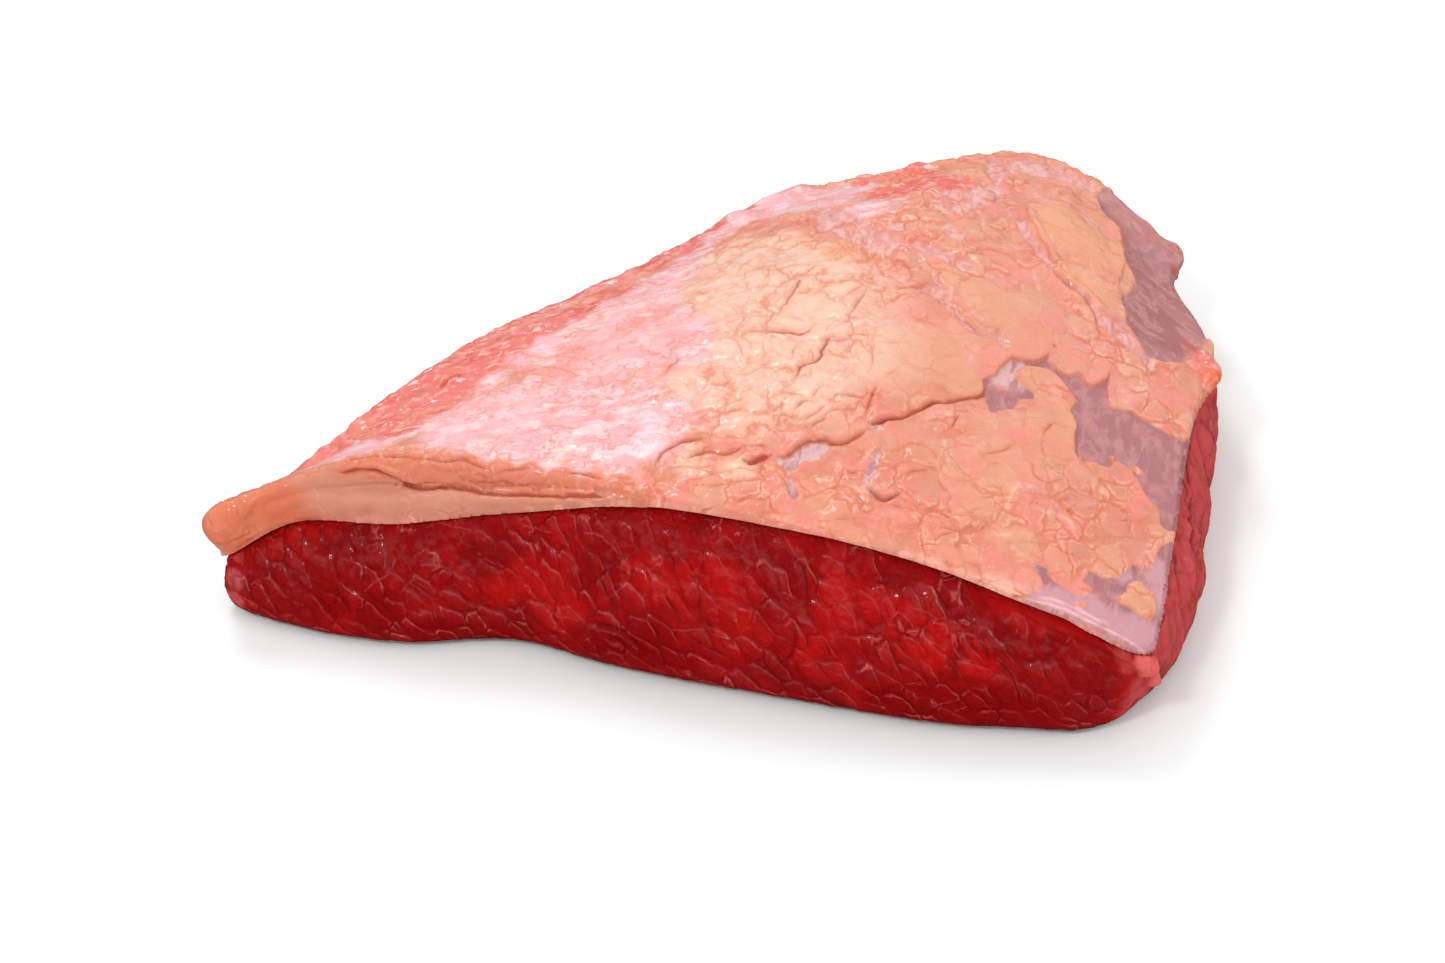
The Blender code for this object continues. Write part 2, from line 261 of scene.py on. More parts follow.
def denseCopy(node, name, voxel):
    # The solid's own form, rounded between its facets and remeshed evenly.
    mesh = node.data.copy()
    mesh.name = name
    mesh.materials.clear()
    work = bmesh.new()
    work.from_mesh(mesh)
    bmesh.ops.remove_doubles(work, verts=work.verts, dist=meshing["mergeWithin"])
    flatness, squareness = math.radians(meshing["facetAngle"]), math.radians(meshing["facetShape"])
    bmesh.ops.join_triangles(
        work, faces=work.faces, angle_face_threshold=flatness, angle_shape_threshold=squareness
    )
    work.to_mesh(mesh)
    work.free()
    for layer in list(mesh.uv_layers):
        mesh.uv_layers.remove(layer)
    piece = addObject(name, mesh)
    smooth = piece.modifiers.new("round", "SUBSURF")
    smooth.levels = smooth.render_levels = meshing["roundings"]
    even = piece.modifiers.new("even", "REMESH")
    even.mode = "VOXEL"
    even.voxel_size = voxel
    bakeModifiers(piece)
    print(name, "remeshed:", len(piece.data.polygons), "faces")
    return piece


def storeValues(mesh, name, values):
    mesh.attributes.new(name, "FLOAT", "POINT").data.foreach_set("value", values)


def distances(piece, tree, spot):
    # How far each point is from a spot of the photograph, in the spot's own radii. Its radius is
    # in millimetres.
    flat = np.zeros(len(piece.data.vertices) * 3, np.float32)
    piece.data.vertices.foreach_get("co", flat)
    x, y, radius = spot
    middle = np.array(surfaceAt(tree, x, y)[0], np.float32)
    return np.linalg.norm(flat.reshape(-1, 3) - middle, axis=1) / (radius * mm)


def markZone(piece, name, tree, spots):
    # Marks how near each point is to the photograph's spots.
    fadedOut = 1.35  # radii
    share = np.zeros(len(piece.data.vertices), np.float32)
    for spot in spots:
        near = np.clip(fadedOut - distances(piece, tree, spot), 0, 1)
        share = np.maximum(share, near * near * (3 - 2 * near))
    storeValues(piece.data, name, share)


def markSwellings(piece, tree, swellings):
    # Adds up round rises over the photograph's spots.
    steepness = 1.5
    height = np.zeros(len(piece.data.vertices), np.float32)
    for *spot, rise in swellings:
        far = distances(piece, tree, spot)
        height += rise * np.exp(-far * far * steepness)
    storeValues(piece.data, "swelling", height)


def markedCopy(node, name, voxel, tree, zones, swellings):
    piece = denseCopy(node, name, voxel)
    for zoneName, spots in zones.items():
        markZone(piece, zoneName, tree, spots)
    markSwellings(piece, tree, swellings)
    return piece


def curveThrough(points, spacing, closed=False):
    # A smooth line through the given pixels, as closely set pixels.
    count = len(points)
    given = [Vector(p) for p in points]
    result = []
    for i in range(count if closed else count - 1):
        around = [i + k if not closed else (i + k) % count for k in (-1, 0, 1, 2)]
        a, b, c, d = (given[min(max(k, 0), count - 1)] for k in around)
        steps = max(1, round((c - b).length / spacing))
        for s in range(steps):
            t = s / steps
            square, cube = 2 * a - 5 * b + 4 * c - d, 3 * b - a - 3 * c + d
            result.append(0.5 * (2 * b + (c - a) * t + square * t**2 + cube * t**3))
    if not closed:
        result.append(given[-1])
    return result


helpers = []


def helperObject(name, mesh):
    guide = addObject(name, mesh)
    guide.hide_render = True
    helpers.append(guide)
    return guide


def tracedLines(name, tree, lines, spacing=5):
    # Lines of the photograph laid on a solid, as edges that carry how deep the fold is there, how
    # far its left side stands up, and which way that side lies.
    endShare, taperPoints = 0.35, 3
    points, edges, depths, steps, sides = [], [], [], [], []
    for depth, step, pixels in lines.values():
        hits = [surfaceAt(tree, *p) for p in curveThrough(pixels, spacing)]
        first = len(points)
        for i, (place, normal, _) in enumerate(hits):
            left = len(hits) - 1 - i
            ahead = hits[min(i + 1, len(hits) - 1)][0] - hits[max(i - 1, 0)][0]
            taper = min(1, (endShare + min(i, left)) / taperPoints)
            points.append(place)
            depths.append(depth * taper)
            steps.append(step * taper)
            sides.extend(normal.cross(ahead).normalized())
        edges += [(k, k + 1) for k in range(first, len(points) - 1)]
    mesh = bpy.data.meshes.new(name)
    mesh.from_pydata(points, edges, [])
    storeValues(mesh, "depth", depths)
    storeValues(mesh, "step", steps)
    mesh.attributes.new("side", "FLOAT_VECTOR", "POINT").data.foreach_set("vector", sides)
    return helperObject(name, mesh)


def tracedPatches(name, tree, outlines, spacing=4):
    # Closed outlines of the photograph laid on a solid and pressed flat on the table.
    # Where an outline runs off the solid it is set a little past the rim.
    pastRim = 5 * mm
    points, faces = [], []
    for pixels in outlines.values():
        first = len(points)
        for x, y in curveThrough(pixels, spacing, closed=True):
            place, _, tries = surfaceAt(tree, x, y)
            if tries:
                place = place + Vector((place.x, place.y, 0)).normalized() * pastRim
            points.append((place.x, place.y, 0))
        faces.append(list(range(first, len(points))))
    mesh = bpy.data.meshes.new(name)
    mesh.from_pydata(points, [], faces)
    return helperObject(name, mesh)


def geometryOf(g, guide):
    return g.field("GeometryNodeObjectInfo", {"Object": guide}, "Geometry")


def stored(g, name, dataType="FLOAT"):
    return g.field("GeometryNodeInputNamedAttribute", {"Name": name}, data_type=dataType)


def nearest(g, target, position, element):
    # Distance to another shape in millimetres, and the nearest place on it.
    into = {"Target": target, "Sample Position": position}
    node = g.add("GeometryNodeProximity", into, target_element=element)
    return Field(g, node.outputs["Distance"]) * 1000, Field(g, node.outputs["Position"])


def foldField(g, guide, where):
    # Distance to the traced lines and signed distance to their left, in mm, with depth and step there.
    lines = geometryOf(g, guide)
    distance, onLine = nearest(g, lines, where, "EDGES")
    index = g.field("GeometryNodeSampleNearest", {"Geometry": lines, "Sample Position": where})
    sampled = {}
    for name, dataType in {"depth": "FLOAT", "step": "FLOAT", "side": "FLOAT_VECTOR"}.items():
        into = {"Geometry": lines, "Value": stored(g, name, dataType), "Index": index}
        sampled[name] = g.field("GeometryNodeSampleIndex", into, data_type=dataType)
    aside = (where - onLine).dot(sampled["side"]) * 1000
    return distance, aside, sampled["depth"], sampled["step"]


def foldShape(given, distance, depth, unevenness, away, wide):
    # A fold's groove, and the swelling beside it at so many of its widths away and so many wide.
    width = given["Fold Width"] * unevenness.rise(0.3, 0.7, 0.75, 1.3) * (depth * 0.3 + 0.7)
    return distance.hill(width), (distance - width * away).hill(width * wide)


def patchField(g, guide, where):
    # How far inside the flattened outlines a place lies, in mm, below zero outside them.
    outline = geometryOf(g, guide)
    flat = where * (1.0, 1.0, 0.0)
    rim, _ = nearest(g, outline, flat, "EDGES")
    above, down, rayLength = (0.0, 0.0, 0.1), (0.0, 0.0, -1.0), 1.0
    ray = {"Target Geometry": outline, "Source Position": flat + above, "Ray Direction": down}
    inside = g.field("GeometryNodeRaycast", {**ray, "Ray Length": rayLength})
    return rim * (inside * 2 - 1)


def openRelief(name, inputs, zones):
    # A relief's tree, with its inputs, the point, its normal, its place in millimetres moved on by
    # the seed, and the zones marked on the mesh.
    seedStep = (17.0, 31.0, 11.0)
    g, given = openTree(name, "GeometryNodeTree", inputs, {"Geometry": "Geometry"})
    position = g.field("GeometryNodeInputPosition")
    normal = g.field("GeometryNodeInputNormal")
    rest = position * 1000 + given["Seed"] * seedStep
    return g, given, position, normal, rest, {label: stored(g, label) for label in [*zones, "swelling"]}


def strayed(g, position, rest, size, reach, detail=2.0):
    # The position, moved about by noise of that size and reach in millimetres.
    return position + (g.wander(rest, size, reach, detail) - rest) * mm


def roundedOff(g, position, weight, passes):
    blur = {"Value": position, "Iterations": passes, "Weight": weight}
    return g.field("GeometryNodeBlurAttribute", blur, data_type="FLOAT_VECTOR")


def hiddenBehind(g, position, normal, neighbour, reach):
    # 1 on the faces that the other solid covers, and the gap to it in millimetres
    gap, onNeighbour = nearest(g, geometryOf(g, neighbour), position, "FACES")
    towards = (onNeighbour - position).dot(normal)
    return gap.math("LESS_THAN", reach) * towards.math("GREATER_THAN", 0.0), gap


def closeTree(g, shape, attributes, place, material):
    # Stores what the finish reads, moves the points, and gives the mesh its material.
    for name, value in attributes.items():
        dataType = "FLOAT_VECTOR" if value.isVector else "FLOAT"
        into = {"Geometry": shape, "Name": name, "Value": value}
        shape = g.field("GeometryNodeStoreNamedAttribute", into, data_type=dataType, domain="POINT")
    shape = g.field("GeometryNodeSetPosition", {"Geometry": shape, "Position": place})
    shape = g.field("GeometryNodeRealizeInstances", {"Geometry": shape})
    shape = g.field("GeometryNodeSetMaterial", {"Geometry": shape, "Material": material})
    g.add("NodeGroupOutput", {0: shape})
    return g.tree


# The fat cap's folds, traced on the photograph: depth mm, how far the left side stands up mm, and
# the line's pixels. A ridge gives its height in place of the depth.
fatFolds = {
    "seamWest": (0.8, 0.5, [(684, 460), (698, 454), (711, 451), (724, 454), (736, 451), (745, 446), (756, 444)]),
    "plugTop": (0.8, 0.3, [(743, 449), (752, 446), (762, 446), (770, 449), (775, 453)]),
    "plugFoot": (1.8, 0.8, [(742, 458), (750, 463), (760, 460), (770, 457), (774, 452)]),
    "seamCentre": (0.9, 0.8, [
        (773, 451), (778, 455), (784, 457), (790, 454), (796, 449), (803, 444), (808, 441), (815, 440), (824, 440),
        (832, 444), (840, 444), (850, 440), (858, 436), (866, 431), (870, 427),
    ]),
    "seamNose": (1.2, 0.6, [
        (866, 420), (869, 424), (875, 423), (884, 421), (893, 419), (900, 417), (907, 416), (915, 410), (922, 409),
        (930, 403), (938, 401), (944, 402), (952, 400), (962, 398), (972, 396), (983, 395), (985, 389), (983, 381),
    ]),
    "noseBack": (0.9, 0.2, [(879, 381), (875, 390), (871, 398), (869, 406), (866, 414), (866, 420)]),
    "lobeUnder": (0.6, 0.4, [
        (850, 413), (841, 409), (832, 410), (826, 414), (824, 419), (818, 422), (811, 427), (813, 433), (815, 439),
    ]),
    "lobeWestEdge": (0.5, 0.2, [(779, 427), (773, 431), (771, 437), (770, 444)]),
    "lobeSplit": (0.45, 0.1, [(797, 424), (805, 425), (811, 431), (815, 439)]),
    "riseWest": (0.9, 0.0, [(774, 424), (774, 417), (778, 411), (781, 405), (784, 399), (789, 394)]),
    "riseMid": (0.8, 0.5, [(815, 402), (807, 401), (801, 403), (797, 407), (794, 412)]),
    "riseEast": (0.9, 0.4, [(822, 383), (819, 387), (814, 393), (811, 400)]),
    "creamStem": (0.8, 0.0, [
        (812, 272), (808, 276), (801, 280), (798, 283), (796, 288), (792, 293), (788, 297), (787, 302), (782, 306),
        (779, 311), (776, 316),
    ]),
    "creamBud": (0.6, 0.3, [(789, 268), (792, 274), (797, 279), (803, 279)]),
    "creamRidge": (0.35, 0.1, [(800, 301), (806, 297), (812, 294), (819, 291), (826, 287), (831, 284)]),
    "creamEast": (0.7, 0.2, [
        (868, 286), (865, 291), (863, 297), (859, 300), (855, 305), (853, 310), (850, 314), (848, 319),
    ]),
    "creamFork": (0.4, 0.1, [(838, 318), (833, 321), (829, 326), (826, 333)]),
    "creamBar": (0.9, 0.3, [
        (761, 322), (763, 327), (769, 331), (776, 331), (784, 332), (792, 332), (800, 333), (806, 331), (812, 327),
        (816, 323),
    ]),
    "creamBarWest": (0.45, 0.2, [(740, 334), (746, 332), (753, 331), (760, 332), (768, 333)]),
    "squareWest": (0.4, 0.0, [(764, 336), (763, 343), (764, 350), (765, 356), (762, 361), (764, 366), (770, 369)]),
    "squareEast": (0.55, 0.2, [(803, 338), (800, 341), (796, 345), (793, 350), (792, 356), (793, 361)]),
    "stairs": (1.0, 0.3, [
        (838, 334), (827, 339), (826, 344), (821, 351), (822, 355), (817, 360), (806, 363), (800, 366), (798, 372),
        (794, 377), (791, 383),
    ]),
    "stairsWest": (0.5, 0.2, [(774, 381), (782, 381), (791, 382)]),
    "hook": (0.6, 0.1, [(875, 338), (874, 344), (872, 352), (873, 360), (872, 367), (868, 372)]),
    "whisker": (0.3, 0.0, [(743, 319), (738, 312), (732, 306), (726, 301)]),
    "redNick": (0.6, 0.0, [(752, 317), (757, 315), (761, 317), (765, 318)]),
    "budWest": (0.45, 0.0, [(761, 263), (768, 268), (769, 275), (764, 280), (762, 286)]),
    "comb": (0.4, 0.0, [(735, 282), (742, 281), (747, 284), (746, 290), (752, 293)]),
    "topStep": (0.8, 0.2, [(834, 258), (836, 253), (842, 251), (850, 250)]),
    "smallLobe": (0.6, 0.3, [(861, 271), (864, 276), (870, 278), (876, 273), (879, 270)]),
    "shelfWest": (0.6, 0.4, [(879, 270), (888, 270), (895, 267), (900, 265)]),
    "lobeFoot": (0.7, 0.5, [(890, 281), (893, 285), (900, 287), (910, 287), (925, 285), (930, 280), (931, 276)]),
    "backSeam": (0.65, 0.5, [
        (932, 292), (941, 300), (947, 302), (953, 305), (957, 311), (962, 318), (968, 321), (973, 326), (978, 331),
        (985, 333), (992, 333),
    ]),
    "backSeamInner": (0.6, 0.3, [(973, 316), (977, 321), (983, 325), (990, 328), (997, 327)]),
    "backSeamWest": (0.5, 0.0, [(951, 286), (952, 291), (949, 297), (950, 303)]),
    "backSplit": (0.5, 0.3, [
        (966, 256), (972, 254), (977, 251), (984, 249), (990, 249), (996, 251), (1003, 254), (1010, 255),
        (1013, 259), (1018, 263), (1023, 268), (1030, 268), (1037, 265), (1044, 262), (1049, 264), (1053, 270),
    ]),
    "backFissure": (0.75, 0.5, [
        (1053, 270), (1058, 273), (1065, 279), (1072, 286), (1078, 291), (1086, 296), (1091, 303), (1096, 312),
        (1098, 320), (1097, 327), (1102, 334), (1110, 341),
    ]),
    "yellowLobeWest": (0.5, 0.9, [
        (1033, 201), (1027, 204), (1026, 212), (1030, 220), (1036, 226), (1038, 235), (1042, 242), (1047, 249),
        (1050, 258), (1055, 262), (1062, 268), (1066, 276),
    ]),
    "yellowLobeEast": (0.25, 0.7, [
        (1121, 297), (1118, 287), (1120, 280), (1124, 270), (1125, 258), (1122, 247), (1121, 237), (1117, 228),
        (1110, 221), (1102, 216), (1094, 210), (1084, 206), (1072, 203), (1060, 200), (1046, 200),
    ]),
    "pit": (1.9, 0.0, [(1052, 342), (1055, 345), (1058, 348)]),
    "eastSeam": (0.5, 0.2, [
        (1085, 527), (1092, 531), (1100, 537), (1110, 536), (1120, 537), (1130, 537), (1142, 538),
    ]),
    "roundLobe": (0.6, 0.3, [
        (1064, 525), (1057, 532), (1056, 540), (1058, 546), (1062, 552), (1070, 556), (1080, 558),
    ]),
    "eastShelf": (0.5, 0.3, [(1020, 538), (1027, 541), (1036, 542), (1046, 544), (1055, 545)]),
    "nick": (0.7, 0.0, [(1008, 540), (1014, 547)]),
    "westOfNick": (0.4, 0.2, [(985, 525), (990, 528), (996, 529), (1002, 536), (1006, 540)]),
    "lilacLobeFoot": (0.9, 0.7, [
        (866, 484), (872, 491), (877, 497), (884, 500), (893, 498), (900, 493), (906, 487),
    ]),
    "pinkLobeFoot": (0.7, 0.5, [(902, 479), (908, 474), (915, 471), (925, 470), (932, 467), (937, 466)]),
    "bite": (0.9, 0.5, [(940, 431), (947, 430), (952, 426), (956, 419), (961, 412), (963, 405)]),
    "smallCut": (0.6, 0.0, [(880, 439), (881, 446), (880, 453)]),
    "lowLobeFoot": (0.9, 0.5, [(841, 463), (845, 468), (851, 472), (860, 473), (866, 477)]),
    "frontFoldHigh": (0.5, 0.3, [(664, 470), (680, 466), (700, 468), (712, 466), (717, 470)]),
    "frontFoldLow": (0.5, 0.4, [(680, 486), (695, 484), (712, 486), (728, 484), (745, 484)]),
    "frontFoldEast": (0.7, 0.4, [
        (731, 506), (738, 501), (745, 498), (755, 498), (763, 499), (770, 496), (773, 488),
    ]),
    "star": (0.9, 0.0, [(714, 477), (716, 472), (722, 468)]),
    "westCrack": (0.9, 0.2, [(652, 470), (657, 462), (661, 453), (669, 448), (680, 443), (694, 441), (708, 438)]),
    "pinkBay": (0.5, 0.2, [(690, 430), (691, 424), (688, 419)]),
    "pinkArc": (0.5, 0.2, [(608, 398), (606, 392), (604, 386), (600, 379), (597, 370)]),
    "pinkSlits": (0.5, 0.0, [(530, 364), (545, 366), (560, 368), (572, 372), (583, 378)]),
    "pinkSlitsLow": (0.4, 0.0, [(535, 374), (550, 376), (565, 376)]),
    "pinkCurl": (0.6, 0.0, [(561, 389), (566, 392), (570, 398)]),
    "pinkNick": (0.6, 0.0, [(614, 334), (617, 327), (618, 321)]),
    "pinkNickEast": (0.6, 0.0, [(637, 326), (634, 321), (628, 320)]),
    "creamWestCrack": (0.8, 0.1, [(684, 345), (680, 340), (678, 338)]),
    "creamWestStem": (0.8, 0.1, [(676, 352), (677, 360), (670, 364), (667, 369), (663, 378)]),
    "bandSlit": (1.3, 0.4, [(434, 389), (442, 385), (449, 380), (455, 376), (464, 374), (470, 373)]),
    "bandCreaseHigh": (0.7, 0.2, [(372, 409), (384, 404), (396, 400), (410, 395), (424, 392), (434, 389)]),
    "bandCreaseEast": (0.6, 0.1, [(560, 303), (572, 299), (584, 296), (598, 293), (608, 294)]),
    "bandNotch": (0.8, 0.2, [(642, 281), (648, 281), (654, 283)]),
    "bandTop": (0.6, 0.2, [(674, 246), (682, 247), (690, 246), (696, 243)]),
    "shoulder": (0.7, 0.4, [(701, 262), (697, 268), (690, 271), (683, 275)]),
    "slit": (1.3, 0.8, [
        (334, 471), (345, 473), (355, 471), (372, 470), (386, 474), (400, 480), (413, 486), (428, 488), (445, 487),
        (467, 488), (480, 492), (500, 494), (522, 494), (545, 495), (563, 496), (588, 497), (606, 497),
    ]),
    "layerTop": (0.8, 0.3, [
        (338, 466), (350, 459), (362, 456), (380, 456), (400, 457), (425, 458), (445, 461), (462, 459), (478, 466),
        (490, 470),
    ]),
    "layerSlit": (0.9, 0.3, [(556, 470), (566, 473), (576, 472), (587, 474), (597, 478), (606, 478)]),
    "layerSlitWest": (0.7, 0.3, [(492, 476), (502, 472), (514, 470), (527, 468), (534, 467), (541, 468)]),
    "layerSplit": (0.6, 0.2, [(470, 478), (480, 474), (486, 478), (484, 484), (488, 490)]),
    "layerSplitEast": (0.5, 0.2, [(536, 492), (541, 484), (548, 478), (556, 472)]),
    "layerSplitFar": (0.5, 0.2, [(600, 494), (604, 487), (612, 482), (622, 480)]),
    "tipLine": (0.8, 0.45, [(208, 513), (214, 520), (219, 530), (222, 541)]),
    "tipLineHigh": (0.7, 0.4, [(241, 498), (237, 506), (239, 515), (244, 522)]),
    "tipLineLow": (0.7, 0.4, [(226, 546), (235, 539), (246, 535), (258, 533)]),
    "tipCrease": (0.5, 0.2, [(226, 505), (228, 515), (234, 525), (242, 532)]),
    "shelfA": (0.5, 0.55, [
        (984, 380), (990, 377), (996, 376), (1000, 369), (1006, 363), (1013, 358), (1022, 360), (1032, 361),
        (1042, 359), (1049, 353), (1053, 347),
    ]),
    "shelfB": (0.5, 0.6, [
        (1050, 352), (1050, 359), (1055, 366), (1062, 373), (1072, 375), (1081, 373), (1084, 379), (1091, 385),
        (1099, 384), (1106, 379), (1110, 372), (1111, 364),
    ]),
    "shelfC": (0.4, 0.45, [
        (1112, 372), (1110, 380), (1109, 390), (1111, 400), (1114, 409), (1121, 411), (1132, 411), (1142, 418),
        (1152, 421), (1163, 424), (1168, 431), (1174, 437), (1181, 440), (1188, 436),
    ]),
    "fanOuter": (0.4, 0.1, [(705, 258), (712, 250), (722, 243), (735, 238)]),
    "fanSecond": (0.4, 0.1, [(712, 265), (720, 255), (732, 247), (746, 242)]),
    "fanThird": (0.4, 0.1, [(722, 272), (730, 262), (740, 254), (755, 248), (770, 246)]),
    "fanInner": (0.35, 0.1, [(735, 277), (742, 266), (752, 258), (765, 254)]),
    "shoulderLine": (0.45, 0.1, [(680, 290), (692, 284), (703, 280), (712, 277)]),
    "shoulderLineLow": (0.4, 0.1, [(684, 297), (697, 291), (710, 287)]),
    "dash": (0.35, 0.1, [(704, 325), (712, 322), (722, 321)]),
    "westCell": (0.45, 0.1, [(722, 338), (730, 337), (738, 341), (741, 350), (745, 357), (749, 362)]),
    "pinkCell": (0.4, 0.1, [(733, 387), (728, 380), (724, 372), (724, 364)]),
    "pinkCellFoot": (0.45, 0.1, [
        (733, 386), (739, 392), (741, 398), (733, 402), (723, 405), (716, 412), (711, 418),
    ]),
    "pinkShelf": (0.5, 0.2, [(770, 372), (764, 366), (757, 369), (750, 373), (740, 374), (731, 373)]),
    "pinkNotch": (0.5, 0.1, [(768, 388), (762, 392), (766, 398), (769, 404), (776, 405)]),
    "smallStem": (0.4, 0.1, [(783, 385), (786, 392), (784, 400)]),
    "eastCurl": (0.4, 0.1, [(858, 339), (853, 344), (851, 351), (853, 358)]),
    "eastBow": (0.4, 0.1, [(864, 325), (868, 333), (868, 341), (866, 350)]),
    "cap": (0.4, 0.2, [(835, 365), (841, 363), (846, 367), (845, 373)]),
    "eastNick": (0.5, 0.1, [(882, 371), (888, 374), (896, 371)]),
    "eastBar": (0.35, 0.1, [(876, 341), (886, 342), (897, 342), (908, 340)]),
    "bayLine": (0.4, 0.1, [(703, 420), (709, 427), (715, 431), (718, 437)]),
    "bayArc": (0.35, 0.1, [(744, 420), (751, 413), (762, 410), (772, 409)]),
    "frontFoldMiddle": (0.5, 0.3, [(682, 483), (690, 479), (700, 478), (712, 474), (725, 471)]),
    "frontFoldFar": (0.4, 0.2, [(727, 470), (740, 468), (752, 470), (762, 475)]),
    "frontCell": (0.45, 0.2, [(740, 484), (741, 491), (747, 494), (752, 491), (753, 483)]),
    "nookWest": (0.6, 0.2, [(775, 470), (782, 478), (788, 484), (793, 491), (798, 495)]),
    "nookFoot": (0.5, 0.2, [(802, 500), (795, 505), (792, 511), (797, 515)]),
    "lowHook": (0.45, 0.1, [(817, 521), (825, 520), (828, 525), (826, 531)]),
    "lowLedge": (0.35, 0.2, [(830, 521), (845, 519), (860, 518), (874, 520)]),
    "roundLobeEast": (0.55, 0.3, [
        (880, 452), (890, 451), (900, 449), (908, 444), (917, 443), (927, 447), (934, 453), (937, 460), (933, 467),
    ]),
    "pinkLobeHigh": (0.5, 0.1, [(880, 477), (887, 470), (894, 465), (901, 461)]),
    "coralSeam": (0.6, 0.3, [(980, 461), (986, 454), (996, 452), (1005, 450), (1012, 445), (1018, 443)]),
    "coralNick": (0.7, 0.1, [(1020, 429), (1024, 424), (1026, 418)]),
    "eastCleft": (0.6, 0.2, [(1043, 437), (1046, 430), (1050, 426), (1054, 424), (1060, 427)]),
    "eastCleftLow": (0.45, 0.1, [(1043, 441), (1042, 449), (1046, 457)]),
    "eastWave": (0.55, 0.3, [
        (1027, 461), (1033, 466), (1034, 474), (1040, 479), (1050, 482), (1060, 480), (1071, 479),
    ]),
    "tongueFoot": (0.5, 0.2, [(1075, 452), (1080, 458), (1087, 465), (1092, 472), (1099, 479)]),
    "smallArch": (0.4, 0.1, [(984, 469), (990, 464), (998, 463), (1006, 466)]),
    "plateauRim": (0.4, 0.2, [(984, 487), (994, 486), (1002, 491), (1004, 498), (999, 504), (990, 507)]),
    "plateauEast": (0.35, 0.2, [(1060, 496), (1074, 494), (1080, 500), (1073, 506), (1062, 508)]),
    "coralShelf": (0.6, 0.4, [(941, 528), (952, 530), (963, 533), (973, 531), (980, 525), (985, 519)]),
    "coralShelfWest": (0.5, 0.3, [(951, 534), (941, 537), (935, 543), (939, 550)]),
    "coralWest": (0.5, 0.2, [(883, 515), (890, 520), (887, 528), (895, 534), (905, 533)]),
    "coralDrop": (0.5, 0.1, [(925, 519), (930, 527), (934, 536)]),
    "eastDrape": (0.5, 0.3, [(1112, 516), (1122, 520), (1135, 520), (1147, 518), (1153, 512)]),
    "eastDrapeHigh": (0.4, 0.2, [(1080, 511), (1090, 508), (1100, 510), (1110, 505), (1121, 508)]),
    "eastTick": (0.5, 0.1, [(1147, 524), (1141, 530), (1145, 538)]),
    "eastSlope": (0.4, 0.2, [(1022, 546), (1031, 553), (1040, 560), (1049, 567)]),
    "cellOne": (0.4, 0.1, [(950, 486), (957, 481), (966, 478), (972, 472)]),
    "cellTwo": (0.4, 0.1, [(905, 512), (912, 506), (921, 504), (929, 507)]),
    "cellThree": (0.4, 0.1, [(960, 505), (966, 511), (974, 512), (982, 508)]),
    "rimLedge": (0.6, 0.5, [(902, 557), (918, 562), (934, 568), (948, 574), (962, 578), (978, 581)]),
    "pinkLong": (0.45, 0.1, [(500, 352), (515, 350), (530, 355), (548, 357), (566, 356), (584, 361)]),
    "pinkLongLow": (0.4, 0.1, [(470, 398), (486, 392), (502, 391), (518, 396)]),
    "pinkWave": (0.4, 0.1, [(560, 330), (574, 327), (588, 331), (602, 328)]),
    "pinkFar": (0.4, 0.1, [(620, 300), (630, 304), (642, 300), (652, 303)]),
    "pinkLow": (0.4, 0.1, [(540, 430), (555, 425), (572, 428), (588, 424)]),
    "pinkEast": (0.45, 0.1, [(640, 400), (650, 394), (662, 396), (672, 391)]),
    "tongueEast": (0.4, 0.8, [
        (1160, 508), (1152, 502), (1146, 493), (1141, 484), (1135, 475), (1128, 468), (1120, 462), (1113, 457),
        (1112, 463), (1107, 468), (1098, 463), (1088, 461), (1081, 459), (1077, 452), (1075, 443), (1076, 434),
        (1077, 425), (1074, 417), (1071, 411), (1075, 404), (1078, 400),
    ]),
    "tongueTop": (0.4, 0.8, [
        (1078, 400), (1072, 392), (1066, 385), (1058, 377), (1048, 369), (1036, 366), (1025, 366), (1017, 371),
        (1013, 377),
    ]),
}

